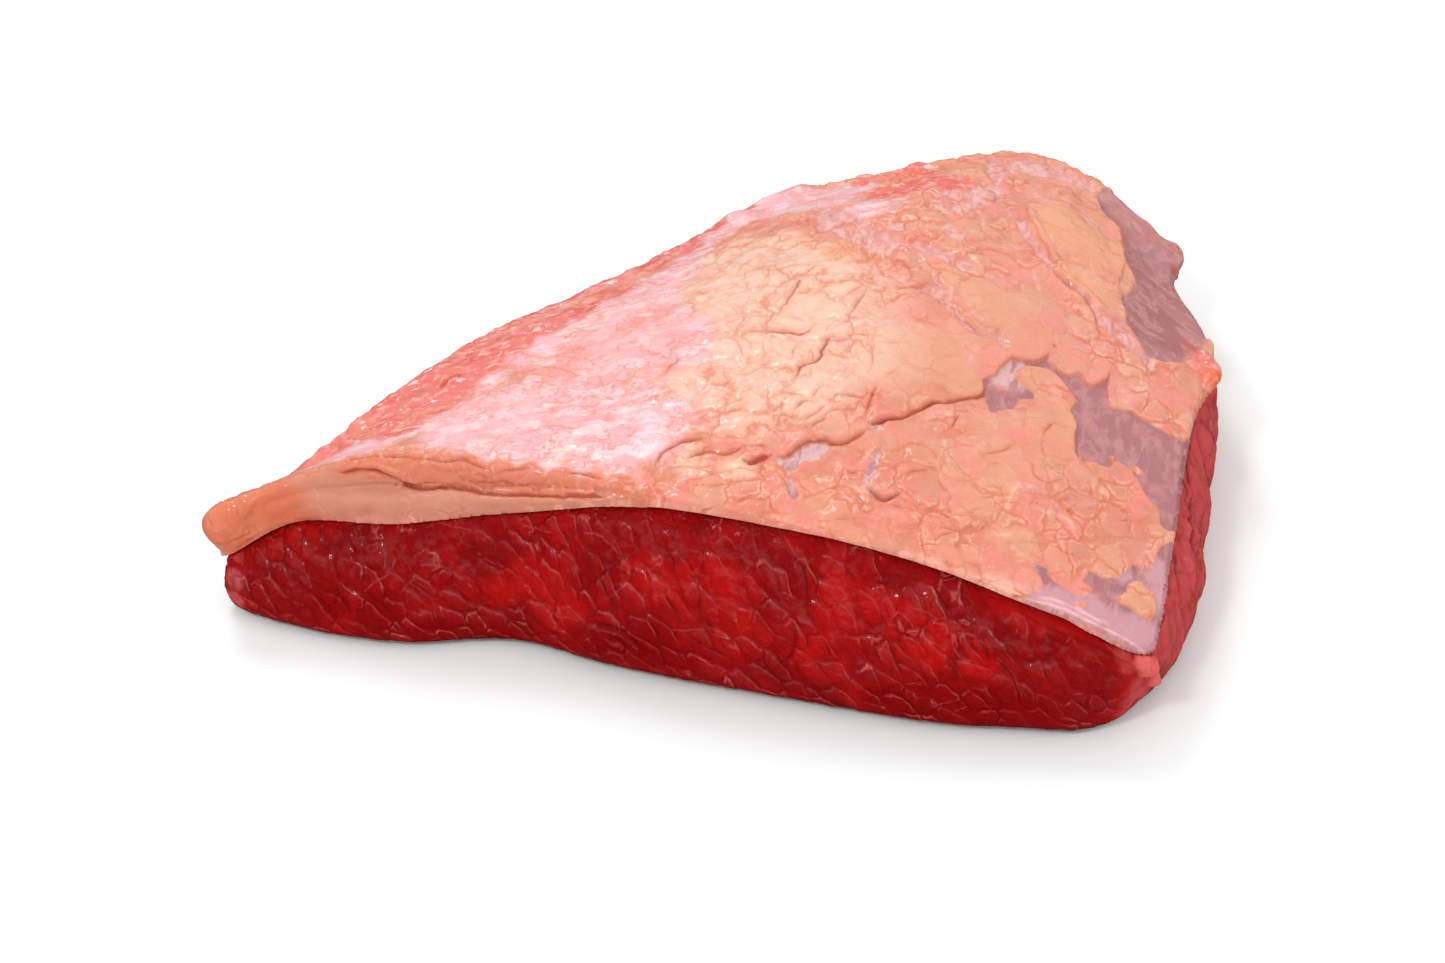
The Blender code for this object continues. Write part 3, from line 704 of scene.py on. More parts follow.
# Raised pale lines: membrane, which is paler in its own colour, and rims of lobes, whose pale tint is a painted
# highlight.
fatRidges = {
    "membraneEdge": (0.5, 0.0, [
        (1012, 600), (1022, 601), (1035, 602), (1050, 603), (1064, 607), (1078, 613), (1092, 620), (1106, 627),
        (1119, 634), (1131, 642), (1141, 650), (1147, 657),
    ]),
    "membraneInner": (0.3, 0.0, [(1040, 596), (1054, 598), (1068, 603), (1082, 609), (1096, 617), (1108, 622)]),
    "vein": (0.2, 0.0, [(1040, 508), (1050, 512), (1060, 515), (1068, 520), (1073, 527)]),
    "veinHigh": (0.15, 0.0, [(945, 439), (945, 449), (947, 459)]),
    "veinSlant": (0.15, 0.0, [(984, 442), (975, 450), (966, 457)]),
    "veinEast": (0.15, 0.0, [(1005, 508), (1010, 498), (1015, 490), (1020, 481)]),
    "veinLow": (0.15, 0.0, [(1013, 547), (1024, 556), (1034, 564)]),
    "veinStep": (0.15, 0.0, [(994, 531), (1002, 535), (1010, 534)]),
    "rimYellow": (0.5, 0.0, [(1030, 207), (1034, 217), (1040, 227), (1045, 236), (1051, 245), (1058, 254)]),
    "rimCentre": (0.3, 0.0, [(1033, 270), (1037, 279), (1039, 289)]),
    "rimFork": (0.3, 0.0, [(970, 255), (975, 262), (980, 268), (986, 276)]),
    "rimSeam": (0.3, 0.0, [(952, 286), (951, 295), (950, 302), (956, 309)]),
    "rimTop": (0.3, 0.0, [(957, 167), (960, 177), (964, 185), (969, 192)]),
    "rimSmall": (0.25, 0.0, [(920, 206), (922, 214), (927, 220)]),
    "rimMiddle": (0.25, 0.0, [(941, 240), (946, 248), (952, 256)]),
    "rimShard": (0.25, 0.0, [(920, 260), (927, 269), (934, 278)]),
    "rimLobe": (0.3, 0.0, [(976, 208), (982, 214), (986, 222)]),
    "rimNorth": (0.25, 0.0, [(866, 172), (880, 170), (894, 174)]),
    "rimNorthLow": (0.25, 0.0, [(870, 184), (884, 182), (900, 184)]),
}

# Where the fat is worn through to the silverskin, outlined on the photograph.
silverskin = {
    "bay": [
        (984, 379), (990, 377), (996, 376), (1000, 369), (1006, 363), (1013, 358), (1022, 360), (1032, 361),
        (1042, 359), (1049, 353), (1050, 360), (1056, 368), (1050, 369), (1040, 366), (1028, 366), (1017, 371),
        (1013, 377), (1020, 382), (1026, 390), (1032, 392), (1036, 399), (1026, 399), (1019, 400), (1015, 408),
        (1004, 407), (992, 411), (988, 402), (986, 392),
    ],
    "sheet": [
        (1055, 367), (1062, 373), (1072, 375), (1081, 373), (1084, 379), (1091, 385), (1099, 384), (1106, 379),
        (1110, 372), (1109, 385), (1110, 398), (1113, 408), (1121, 411), (1132, 411), (1142, 418), (1152, 422),
        (1163, 430), (1172, 436), (1186, 440), (1196, 450), (1194, 465), (1192, 480), (1190, 495), (1186, 512),
        (1182, 530), (1164, 528), (1160, 508), (1152, 502), (1146, 493), (1141, 484), (1135, 475), (1128, 468),
        (1120, 462), (1114, 456), (1109, 455), (1112, 461), (1108, 468), (1103, 466), (1096, 462), (1088, 461),
        (1081, 459), (1077, 452), (1075, 443), (1076, 434), (1077, 425), (1074, 417), (1071, 411), (1075, 404),
        (1078, 400), (1072, 392), (1066, 385), (1058, 377), (1050, 369),
    ],
    "flank": [
        (1098, 194), (1106, 213), (1114, 222), (1121, 232), (1125, 243), (1126, 256), (1129, 264), (1134, 273),
        (1139, 285), (1133, 293), (1124, 293), (1123, 300), (1125, 307), (1129, 315), (1126, 321), (1131, 328),
        (1136, 337), (1142, 345), (1150, 356), (1160, 360), (1174, 362), (1184, 361), (1192, 352), (1200, 350),
        (1206, 345), (1206, 330), (1198, 312), (1190, 290), (1196, 262), (1192, 240), (1172, 222), (1146, 205),
        (1118, 190),
    ],
    "window": [
        (775, 459), (779, 456), (785, 458), (792, 454), (798, 449), (804, 444), (810, 441), (818, 440), (826, 441),
        (832, 445), (829, 449), (824, 453), (820, 458), (812, 461), (803, 460), (800, 463), (796, 467), (790, 469),
        (784, 467), (779, 463),
    ],
    "pinhole": [(871, 425), (878, 424), (884, 423), (882, 427), (876, 431), (871, 429)],
    "channel": [
        (878, 450), (881, 456), (877, 463), (880, 467), (875, 474), (870, 480), (868, 486), (875, 492), (882, 499),
        (892, 498), (886, 502), (876, 499), (867, 489), (864, 480), (867, 470), (870, 461), (874, 454),
    ],
    "heel": [
        (1012, 598), (1020, 597), (1027, 594), (1033, 590), (1042, 588), (1044, 583), (1042, 577), (1037, 569),
        (1034, 564), (1040, 566), (1048, 568), (1050, 575), (1056, 580), (1063, 585), (1070, 590), (1078, 594),
        (1086, 596), (1092, 592), (1094, 588), (1086, 583), (1082, 580), (1087, 576), (1089, 571), (1096, 574),
        (1103, 578), (1112, 579), (1120, 575), (1127, 570), (1132, 564), (1138, 568), (1146, 573), (1152, 566),
        (1156, 558), (1163, 545), (1180, 545), (1178, 590), (1172, 620), (1164, 650), (1146, 656), (1130, 647),
        (1115, 638), (1100, 631), (1085, 623), (1070, 616), (1055, 611), (1040, 608), (1025, 604),
    ],
    "nook": [(786, 478), (792, 482), (796, 489), (799, 497), (794, 500), (789, 494), (785, 486)],
}

# Where the fat is so thin that the silverskin only tints it.
thinFat = {
    "valleyWest": [
        (818, 206), (830, 206), (842, 208), (852, 213), (864, 217), (876, 220), (884, 226), (890, 232), (896, 240),
        (905, 243), (912, 246), (906, 250), (896, 252), (890, 256), (880, 251), (868, 247), (860, 241), (850, 240),
        (840, 233), (828, 229), (816, 226),
    ],
    "valleyUpper": [
        (886, 220), (900, 222), (915, 223), (930, 222), (944, 223), (954, 227), (962, 231), (967, 236), (964, 239),
        (954, 237), (946, 233), (940, 228), (926, 226), (912, 227), (898, 228), (888, 226),
    ],
    "valleyMiddle": [
        (912, 238), (924, 239), (936, 243), (946, 249), (954, 254), (964, 257), (972, 262), (975, 268), (966, 270),
        (954, 266), (944, 261), (932, 255), (920, 249), (910, 243),
    ],
    "valleyFork": [
        (922, 264), (928, 266), (934, 273), (940, 279), (946, 285), (951, 292), (952, 300), (946, 304), (938, 300),
        (930, 294), (922, 289), (914, 288), (921, 285), (930, 284), (934, 280), (929, 272),
    ],
    "valleyNotch": [
        (893, 257), (900, 262), (906, 262), (914, 258), (922, 260), (914, 265), (905, 267), (900, 268), (895, 264),
    ],
    "valleySeam": [
        (948, 299), (955, 305), (961, 312), (967, 319), (975, 325), (983, 329), (992, 330), (999, 329), (1004, 334),
        (1008, 342), (1006, 350), (1000, 343), (993, 337), (984, 336), (975, 333), (966, 327), (958, 319),
        (951, 310), (944, 304),
    ],
    "valleyNorth": [
        (926, 202), (936, 192), (950, 187), (962, 189), (974, 186), (990, 183), (1004, 186), (1006, 194),
        (996, 202), (980, 204), (970, 209), (958, 212), (948, 210), (938, 207),
    ],
    "valleyTop": [
        (989, 158), (997, 157), (1004, 162), (1006, 170), (1003, 178), (998, 184), (992, 180), (988, 172),
        (985, 165),
    ],
    "valleyLobe": [
        (1021, 213), (1027, 222), (1033, 230), (1038, 239), (1043, 247), (1049, 255), (1055, 264), (1053, 269),
        (1046, 263), (1039, 255), (1033, 248), (1027, 240), (1021, 232), (1017, 222),
    ],
    "valleyFissure": [
        (1054, 268), (1060, 272), (1067, 279), (1074, 285), (1082, 290), (1090, 297), (1098, 306), (1107, 315),
        (1113, 323), (1112, 334), (1106, 330), (1098, 322), (1092, 312), (1085, 301), (1076, 293), (1067, 286),
        (1058, 277),
    ],
    "backRim": [
        (1006, 163), (1020, 158), (1040, 158), (1060, 164), (1075, 171), (1090, 182), (1098, 192), (1085, 190),
        (1068, 184), (1050, 178), (1030, 173), (1012, 172),
    ],
    "eastSkin": [
        (1113, 322), (1122, 318), (1130, 330), (1140, 344), (1150, 356), (1160, 366), (1154, 374), (1144, 366),
        (1134, 354), (1124, 342), (1115, 334),
    ],
}

# Fat left standing on the silverskin.
fatIslands = {
    "backLobe": [
        (888, 232), (896, 229), (908, 229), (922, 231), (936, 234), (930, 238), (918, 238), (904, 238), (893, 236),
    ],
    "backBead": [(842, 218), (852, 220), (858, 226), (850, 229), (842, 225)],
    "sliver": [(995, 383), (1001, 385), (1005, 389), (1003, 391), (998, 388)],
    "tear": [(1131, 464), (1138, 465), (1143, 470), (1144, 474), (1139, 473), (1133, 469)],
    "heelIsland": [
        (1115, 598), (1122, 595), (1127, 591), (1128, 586), (1134, 581), (1140, 582), (1145, 589), (1151, 592),
        (1156, 600), (1157, 610), (1152, 618), (1146, 621), (1139, 616), (1131, 609), (1124, 604),
    ],
    "crumb": [(1075, 600), (1080, 600), (1088, 604), (1083, 608), (1077, 605)],
}

# Spots of the photograph that mark a zone: x, y, radius in millimetres.
fatZones = {
    "cream": [
        (760, 290, 26), (800, 285, 28), (775, 345, 26), (820, 340, 24), (720, 330, 15), (705, 290, 12),
        (690, 390, 12), (740, 260, 13), (790, 255, 14), (800, 385, 16), (740, 400, 14), (712, 262, 8),
        (740, 244, 7), (780, 238, 7), (770, 262, 13), (800, 262, 12), (750, 270, 12), (690, 460, 5), (735, 470, 5),
    ],
    "pink": [
        (560, 410, 28), (500, 420, 20), (620, 340, 22), (560, 340, 16), (630, 430, 16), (450, 430, 12),
        (690, 350, 7), (650, 300, 10), (780, 205, 16), (730, 218, 10), (820, 200, 13), (850, 188, 10),
        (870, 205, 9), (660, 420, 10), (690, 330, 7), (720, 235, 6), (600, 305, 9), (560, 322, 9), (520, 350, 9),
        (480, 378, 9), (440, 405, 9), (405, 428, 9), (372, 442, 8), (345, 452, 8), (640, 290, 10), (660, 280, 9),
        (677, 268, 8), (694, 254, 6), (706, 244, 4), (320, 462, 6),
    ],
    "band": [
        (285, 468, 6), (310, 455, 8), (335, 442, 9), (365, 425, 11), (400, 405, 12), (435, 385, 13), (470, 362, 13),
        (505, 342, 11), (540, 325, 9), (575, 308, 8), (610, 290, 7), (650, 268, 6), (685, 248, 6), (705, 228, 5),
        (400, 425, 8), (440, 400, 9), (300, 442, 6), (330, 425, 7), (365, 403, 8), (400, 384, 9), (430, 362, 10),
        (460, 340, 9), (490, 318, 8), (520, 300, 8), (560, 284, 7), (600, 266, 7), (640, 248, 6), (680, 226, 6),
        (712, 210, 5), (745, 198, 4), (260, 470, 5), (235, 480, 4),
    ],
    "red": [
        (915, 172, 11), (940, 182, 11), (895, 188, 9), (960, 195, 7), (1195, 352, 4), (1212, 376, 5),
        (1183, 250, 2.6), (1177, 270, 2.4), (760, 457, 3), (870, 178, 6), (1202, 356, 4), (1190, 345, 3),
    ],
    "nub": [(1214, 376, 3.2)],
    # silverskin on the back-right flank, partly its own darker colour and partly painted shade where it turns from the
    # light
    "dusk": [
        (1150, 290, 9), (1160, 320, 10), (1148, 330, 8), (1172, 340, 8), (1185, 320, 6), (1140, 262, 6),
        (1178, 290, 6), (1190, 305, 5), (1166, 300, 8),
    ],
    "veil": [
        (1150, 222, 6), (1165, 238, 6), (1138, 212, 5), (1192, 335, 5), (1198, 350, 6), (1160, 228, 5),
        (1110, 196, 4), (1175, 245, 5), (1135, 235, 5), (1122, 215, 5),
    ],
    "back": [
        (840, 225, 9), (870, 240, 12), (900, 260, 11), (930, 215, 13), (970, 230, 12), (960, 275, 10),
        (990, 180, 10), (1085, 330, 8), (1110, 350, 10), (1150, 400, 8), (1140, 380, 10), (985, 320, 7),
    ],
    "honey": [
        (1080, 240, 14), (1085, 285, 9), (1060, 215, 9), (1045, 230, 7), (1110, 250, 8), (860, 245, 7),
        (840, 250, 6),
    ],
    "smooth": [
        (1080, 240, 17), (1085, 285, 12), (1060, 215, 11), (950, 350, 12), (900, 370, 12), (1010, 450, 14),
        (1050, 440, 10), (900, 340, 10), (1010, 345, 12), (1030, 310, 12), (1000, 290, 9), (1060, 345, 8),
    ],
    "coral": [
        (960, 555, 12), (925, 520, 9), (1130, 515, 9), (815, 480, 7), (1015, 440, 5), (900, 475, 7), (760, 500, 6),
        (850, 520, 8), (1000, 560, 8), (940, 540, 8), (735, 445, 4), (615, 335, 11), (650, 315, 9), (585, 350, 9),
        (560, 372, 7), (668, 340, 8),
    ],
    "tip": [(222, 525, 9), (240, 520, 10), (262, 508, 10), (212, 505, 7), (235, 545, 7), (285, 500, 7)],
    "heel": [
        (1060, 600, 6), (1090, 610, 7), (1120, 625, 6), (1145, 635, 7), (1160, 600, 6), (1155, 570, 5),
        (1035, 592, 4), (1120, 570, 4),
    ],
    "rimCream": [(905, 561, 3), (925, 569, 3), (945, 577, 3.5), (965, 582, 4), (985, 588, 4.5), (1005, 590, 4.5)],
    "round": [
        (205, 505, 6), (215, 500, 7), (230, 494, 7), (250, 486, 7), (270, 478, 7), (290, 470, 7), (312, 462, 5),
        (332, 456, 4), (212, 548, 5), (235, 548, 5), (208, 530, 6), (225, 522, 6),
    ],
    "cutPale": [
        (445, 500, 8), (475, 501, 8), (505, 502, 8), (535, 502, 7), (570, 501, 6), (600, 500, 5), (415, 498, 8),
        (385, 492, 8), (355, 488, 8), (325, 490, 8), (300, 495, 7), (280, 500, 5),
    ],
    "cut": [
        (285, 505, 7), (300, 500, 9), (330, 493, 9), (360, 490, 8), (390, 492, 8), (420, 495, 7), (450, 498, 6),
        (480, 499, 6), (510, 501, 5), (540, 501, 4), (570, 499, 4), (600, 498, 3), (640, 500, 3),
    ],
    "milky": [
        (785, 460, 6), (805, 455, 6), (826, 447, 5), (876, 427, 2), (878, 465, 5), (872, 485, 5), (790, 488, 4),
        (1010, 370, 6),
    ],
    "layer": [
        (350, 464, 4), (380, 466, 5), (410, 468, 5), (440, 470, 5), (470, 472, 5), (500, 476, 5), (530, 480, 5),
        (560, 482, 5), (590, 485, 4), (620, 486, 4), (650, 490, 3),
    ],
}

# Local swellings: x, y, radius and height in millimetres.
fatSwellings = [
    (1214, 377, 3.0, 1.9), (1176, 246, 4, 1.4), (1150, 222, 4, 0.8), (390, 423, 2.2, 1.0), (760, 456, 3.0, 1.3),
    (735, 216, 6, 1.2), (780, 198, 6, 1.0), (915, 160, 6, 0.9), (800, 188, 4, 0.9), (1072, 555, 4.0, 0.7),
    (890, 488, 4.0, 0.9), (925, 462, 6.0, 0.7), (300, 460, 4, 0.8), (430, 372, 5, 0.8), (520, 318, 5, 0.6),
    (216, 512, 6, 1.8), (222, 532, 6, 1.6), (240, 500, 6, 0.8), (212, 530, 5, 0.9),
]

fat = {
    "voxel": 0.52 * mm,
    "triangles": 196000,
    "foldWidth": 0.5,  # the rest in millimetres
    "patchDepth": 0.75,
    "lobeSize": 8.4,
    "lobeDepth": 0.62,
    "plateSize": 15.0,
    "plateStep": 0.5,
    "wrinkleDepth": 0.5,
    "coverReach": 1.6,  # the lean hides what is nearer than this
    "coverLift": 0.38,
    "roundings": 70,  # passes that blur the rounded zones
    "seed": 3,
    "mottleSize": 11.0,  # from here on for the finish
    "fineSize": 3.0,
    "wrinkleSize": 5.0,
    "threadSize": 2.3,
    "lineWidth": 0.17,
    "lineSpread": 0.13,
    "shadeWidth": 1.3,
    "wetSkin": {"Pool Size": 4.0, "Grain Size": 1.1, "Dry": 0.35, "Roughness": 0.42},
    "bump": {"Strength": 0.5, "Distance": 0.0009},
    "shader": {
        "Coat Roughness": 0.1,
        "Coat IOR": 1.36,
        "Specular IOR Level": 0.2,
        "Subsurface Weight": 0.25,
        "Subsurface Radius": (1.0, 0.5, 0.35),
        "Subsurface Scale": 0.0012,
    },
}
alongCut, acrossCut = (0.93, 0.36, 0.0), (-0.36, 0.93, 0.3)  # the cut's long edge, and square to it
downFlank = (0.6, -0.7, -0.4)  # the way the silverskin is drawn at the back


def lobePattern(g, where, size):
    # The fat's lobes: their bent place, distance to their borders in mm and how far each border is
    # open, large and small.
    bent = g.wander(where, size * 0.6, size * 0.36, 3.0)
    big = g.edges(bent, size)
    bigOpen = g.noise(where, size * 1.4).rise(0.4, 0.6)
    small = g.edges(g.wander(where, size * 0.3, size * 0.18), size * 0.46)
    smallOpen = g.noise(where + (40.0, 0.0, 0.0), size).rise(0.42, 0.66)
    return bent, big, bigOpen, small, smallOpen


def cellTilt(g, bent, size, towards):
    # How far a place lies to one side of its cell, from -0.5 to 0.5: the side that stands up as a lip.
    return (bent - g.cells(bent, size, output="Position")).dot(towards) / size


def platePattern(g, where, size):
    # Wider plates of fat: distance to their borders in mm, how far each is open, and which stand higher.
    bent = g.wander(where, size * 0.6, size * 0.36, 4.0)
    height = g.cells(bent, size, output="Color").dot(xAxis) - 0.5
    return g.edges(bent, size), g.noise(where + (0.0, 70.0, 0.0), size * 1.2).rise(0.44, 0.58), height


def drawnPattern(g, where):
    # Streaks of the drawn membrane, along the cut's long edge.
    turned = g.vector(where.dot(alongCut) * 0.4, where.dot(acrossCut), where.dot(zAxis))
    return g.noise(g.wander(turned, 7.0, 2.2), 5.0, 3.0, 0.55, "RIDGED_MULTIFRACTAL")


def fatReliefTree(material):
    inputs = {
        "Geometry": "Geometry",
        **dict.fromkeys(("Folds", "Ridges", "Silverskin", "Thin Fat", "Islands", "Lean"), "Object"),
        **sizeInputs(
            fat, "Fold Width", "Patch Depth", "Lobe Size", "Lobe Depth", "Plate Size", "Plate Step",
            "Wrinkle Depth", "Cover Reach", "Cover Lift", "Seed"
        ),
        "Material": material,
    }
    g, given, position, normal, rest, zone = openRelief("fatRelief", inputs, fatZones)
    covered, _ = hiddenBehind(g, position, normal, given["Lean"], given["Cover Reach"])
    smooth, pink, cream = zone["smooth"], zone["pink"], zone["cream"]

    # traced folds
    uneven = strayed(g, position, rest, 3.0, 0.45)
    distance, aside, depth, step = foldField(g, given["Folds"], uneven)
    groove, shoulder = foldShape(given, distance, depth, g.noise(rest, 7.0), 2.6, 2.0)
    lip = aside.rise(-0.15, 0.45) * distance.rise(4.5, 0.3) * 0.55
    foldHeight = shoulder * depth * 0.35 - groove * depth * depth.rise(0.3, 0.9, 0.5, 0.9) + lip * (step + depth * 0.2)
    ridgeAway, ridgeSide, ridgeRise, _ = foldField(g, given["Ridges"], uneven)
    ridge = ridgeAway.hill(0.6) * ridgeRise * 0.7

    # silverskin showing through
    ragged = strayed(g, position, rest, 5.0, 0.7, 3.0)
    outside = patchField(g, given["Islands"], ragged) * -1
    patch = patchField(g, given["Silverskin"], ragged).least(outside)
    thin = patchField(g, given["Thin Fat"], ragged).least(outside)
    bare = patch.rise(-0.4, 0.5)
    patchHeight = (patch + 1.2).hill(0.9) * 0.28 - bare * given["Patch Depth"]
    patchHeight = patchHeight + (thin + 1.3).hill(1.1) * 0.35 - thin.rise(-0.6, 0.8) * 0.7

    # lobes, wide and small, rounded between their borders
    bent, big, bigOpen, small, smallOpen = lobePattern(g, rest, given["Lobe Size"])
    lobed = (cream * 0.25 + zone["back"] * 0.9 + zone["coral"] * 0.4 + 0.75).least(1.25)
    lobed = lobed * (1 - pink * 0.75) * (1 - smooth * 0.75) * (1 - zone["band"] * 0.6) * (1 - bare)
    bulge = big.rise(0.0, 2.8) * (bigOpen * 0.6 + 0.4) + small.rise(0.0, 1.5) * (smallOpen * 0.25 + 0.05)
    tilt = cellTilt(g, bent, given["Lobe Size"], (0.5, -0.8, 0.0)) * big.rise(0.0, 0.8) * (bigOpen * 0.7 + 0.3)
    lobeHeight = (bulge + tilt * 1.3 - 0.65 - big.hill(0.45) * bigOpen * 0.4) * given["Lobe Depth"] * lobed

    plateEdge, plateOpen, plateRise = platePattern(g, rest, given["Plate Size"])
    plated = (1 - pink * 0.8) * (1 - cream * 0.5) * (1 - smooth * 0.9) * (1 - bare)
    plateHeight = plateRise * plateEdge.rise(0.0, 5.0, 1.0, 0.4) + plateEdge.rise(0.0, 3.0) * plateOpen - 0.4
    plateHeight = (plateHeight - plateEdge.hill(0.45) * plateOpen * 0.5) * given["Plate Step"] * plated

    # drawn membrane, coarser along the red band
    drawn = drawnPattern(g, rest) - 0.6
    coarse = g.noise(g.wander(rest, 6.0, 2.0), 4.2, 2.0, 0.5, "RIDGED_MULTIFRACTAL") - 0.6
    wrinkleHeight = drawn * pink * 0.9 + coarse * zone["band"].most(zone["red"] * 0.8) * 1.1
    wrinkleHeight = wrinkleHeight * given["Wrinkle Depth"]

    # a gentle unevenness everywhere
    soft = (g.sway(rest, 5.0) + g.sway(rest, 2.0, 1.0) * 0.35) * (1 - pink * 0.7)
    broad = g.sway(rest, 24.0, 1.0) * 1.8
    calm = 1 - zone["cut"].most(zone["tip"] * 0.4) * 0.8

    height = lobeHeight + plateHeight + wrinkleHeight + soft * (1 - bare * 0.6) * (1 - smooth * 0.4)
    height = (height + broad) * calm
    height = height * (1 - groove) + foldHeight + ridge + patchHeight * calm + zone["swelling"]
    height = height + g.sway(rest, 7.0) * zone["tip"] * 2.6
    lifted = height * (1 - covered) + covered * given["Cover Lift"]
    place = roundedOff(g, position, zone["round"] * (1 - covered), fat["roundings"]) + normal * (lifted * mm)
    attributes = {
        "rest": rest,
        "foldSide": aside,
        "foldNear": distance,
        "foldDepth": depth * (1 - covered),
        "ridgeSide": ridgeSide,
        "ridgeNear": ridgeAway,
        "patch": patch,
        "thin": thin,
        "lobed": lobed * calm,
        "plated": plated * calm,
        "hidden": covered,
    }
    return closeTree(g, given["Geometry"], attributes, place, given["Material"])


# The same for the lean muscle: folds, thin pale ridges where the grain's borders catch the light,
# zones and swellings.
leanFolds = {
    "middleLong": (0.5, 0.1, [
        (733, 542), (737, 549), (740, 556), (742, 563), (743, 570), (743, 578), (744, 586), (747, 592), (750, 598),
        (753, 606), (756, 614), (756, 625),
    ]),
    "eastLong": (0.45, 0.1, [
        (772, 550), (774, 557), (773, 565), (775, 573), (777, 581), (779, 589), (781, 597), (783, 605),
    ]),
    "slant": (0.4, 0.2, [(760, 579), (764, 585), (769, 590), (774, 596), (779, 603), (786, 611), (790, 616)]),
    "plateEast": (0.5, 0.3, [
        (783, 551), (790, 556), (797, 561), (802, 566), (804, 572), (805, 580), (806, 588), (807, 596), (807, 605),
        (808, 613),
    ]),
    "upperSlant": (0.4, 0.2, [(700, 538), (706, 545), (713, 553), (718, 560), (719, 568)]),
    "westLong": (0.5, 0.2, [
        (662, 545), (668, 552), (673, 560), (673, 570), (676, 580), (680, 590), (683, 599), (690, 606), (698, 612),
        (706, 617),
    ]),
    "westLow": (0.5, 0.2, [(700, 615), (708, 622), (712, 630), (716, 640)]),
    "bulge": (0.6, 0.5, [(776, 669), (782, 663), (789, 658), (794, 648), (795, 637), (796, 628), (800, 622)]),
    "bulgeEast": (0.35, 0.1, [(815, 636), (822, 640), (827, 646), (829, 654), (828, 664)]),
    "eastArc": (0.4, 0.2, [(838, 560), (845, 568), (851, 577), (855, 586), (856, 596), (857, 606), (856, 618)]),
    "eastCell": (0.5, 0.2, [(862, 640), (866, 648), (868, 655), (864, 662), (860, 668)]),
    "farSlant": (0.45, 0.2, [(947, 650), (950, 658), (953, 665), (957, 672), (962, 679)]),
    "farArc": (0.45, 0.3, [
        (993, 655), (1000, 662), (1006, 668), (1012, 674), (1017, 681), (1022, 689), (1027, 697), (1032, 704),
    ]),
    "lowSwell": (0.3, 0.1, [
        (868, 700), (880, 693), (895, 686), (915, 682), (935, 679), (955, 690), (975, 692), (995, 690), (1005, 685),
        (1015, 680),
    ]),
    "lowerLobe": (0.7, 0.9, [
        (648, 657), (643, 651), (637, 644), (628, 636), (617, 629), (605, 626), (595, 625), (585, 621),
    ]),
    "tipEdge": (0.6, 0.0, [(238, 575), (242, 583), (247, 592), (252, 601), (258, 610)]),
    "westSlant": (0.5, 0.2, [(345, 533), (350, 543), (356, 553), (361, 563)]),
    "westHook": (0.4, 0.2, [(361, 563), (358, 572), (360, 580), (366, 586)]),
    "westColumn": (0.3, 0.0, [(313, 540), (312, 552), (312, 562), (310, 575), (307, 590), (306, 603)]),
    "westSmall": (0.5, 0.1, [(330, 560), (336, 572), (340, 582), (341, 592)]),
    "underBand": (0.4, 0.2, [
        (1134, 664), (1120, 660), (1100, 650), (1080, 641), (1060, 633), (1040, 623), (1018, 611),
    ]),
    "sideLong": (1.2, 0.0, [
        (1200, 408), (1194, 425), (1189, 440), (1187, 460), (1189, 480), (1191, 500), (1192, 520), (1193, 540),
        (1196, 560), (1198, 580), (1199, 600),
    ]),
    "sideOuter": (1.0, 0.0, [(1209, 400), (1211, 420), (1212, 440), (1213, 460), (1211, 480), (1212, 500)]),
    "sideInner": (0.7, 0.0, [(1178, 460), (1183, 475), (1186, 490), (1188, 505), (1191, 515)]),
    "sideLow": (0.9, 0.0, [(1170, 540), (1175, 555), (1178, 575), (1180, 590), (1182, 610), (1184, 630)]),
    "sideOuterLow": (1.0, 0.0, [(1205, 510), (1202, 525), (1200, 545), (1198, 562)]),
    "sideFirst": (0.7, 0.0, [(1160, 560), (1162, 580), (1163, 600), (1161, 620), (1156, 635)]),
}

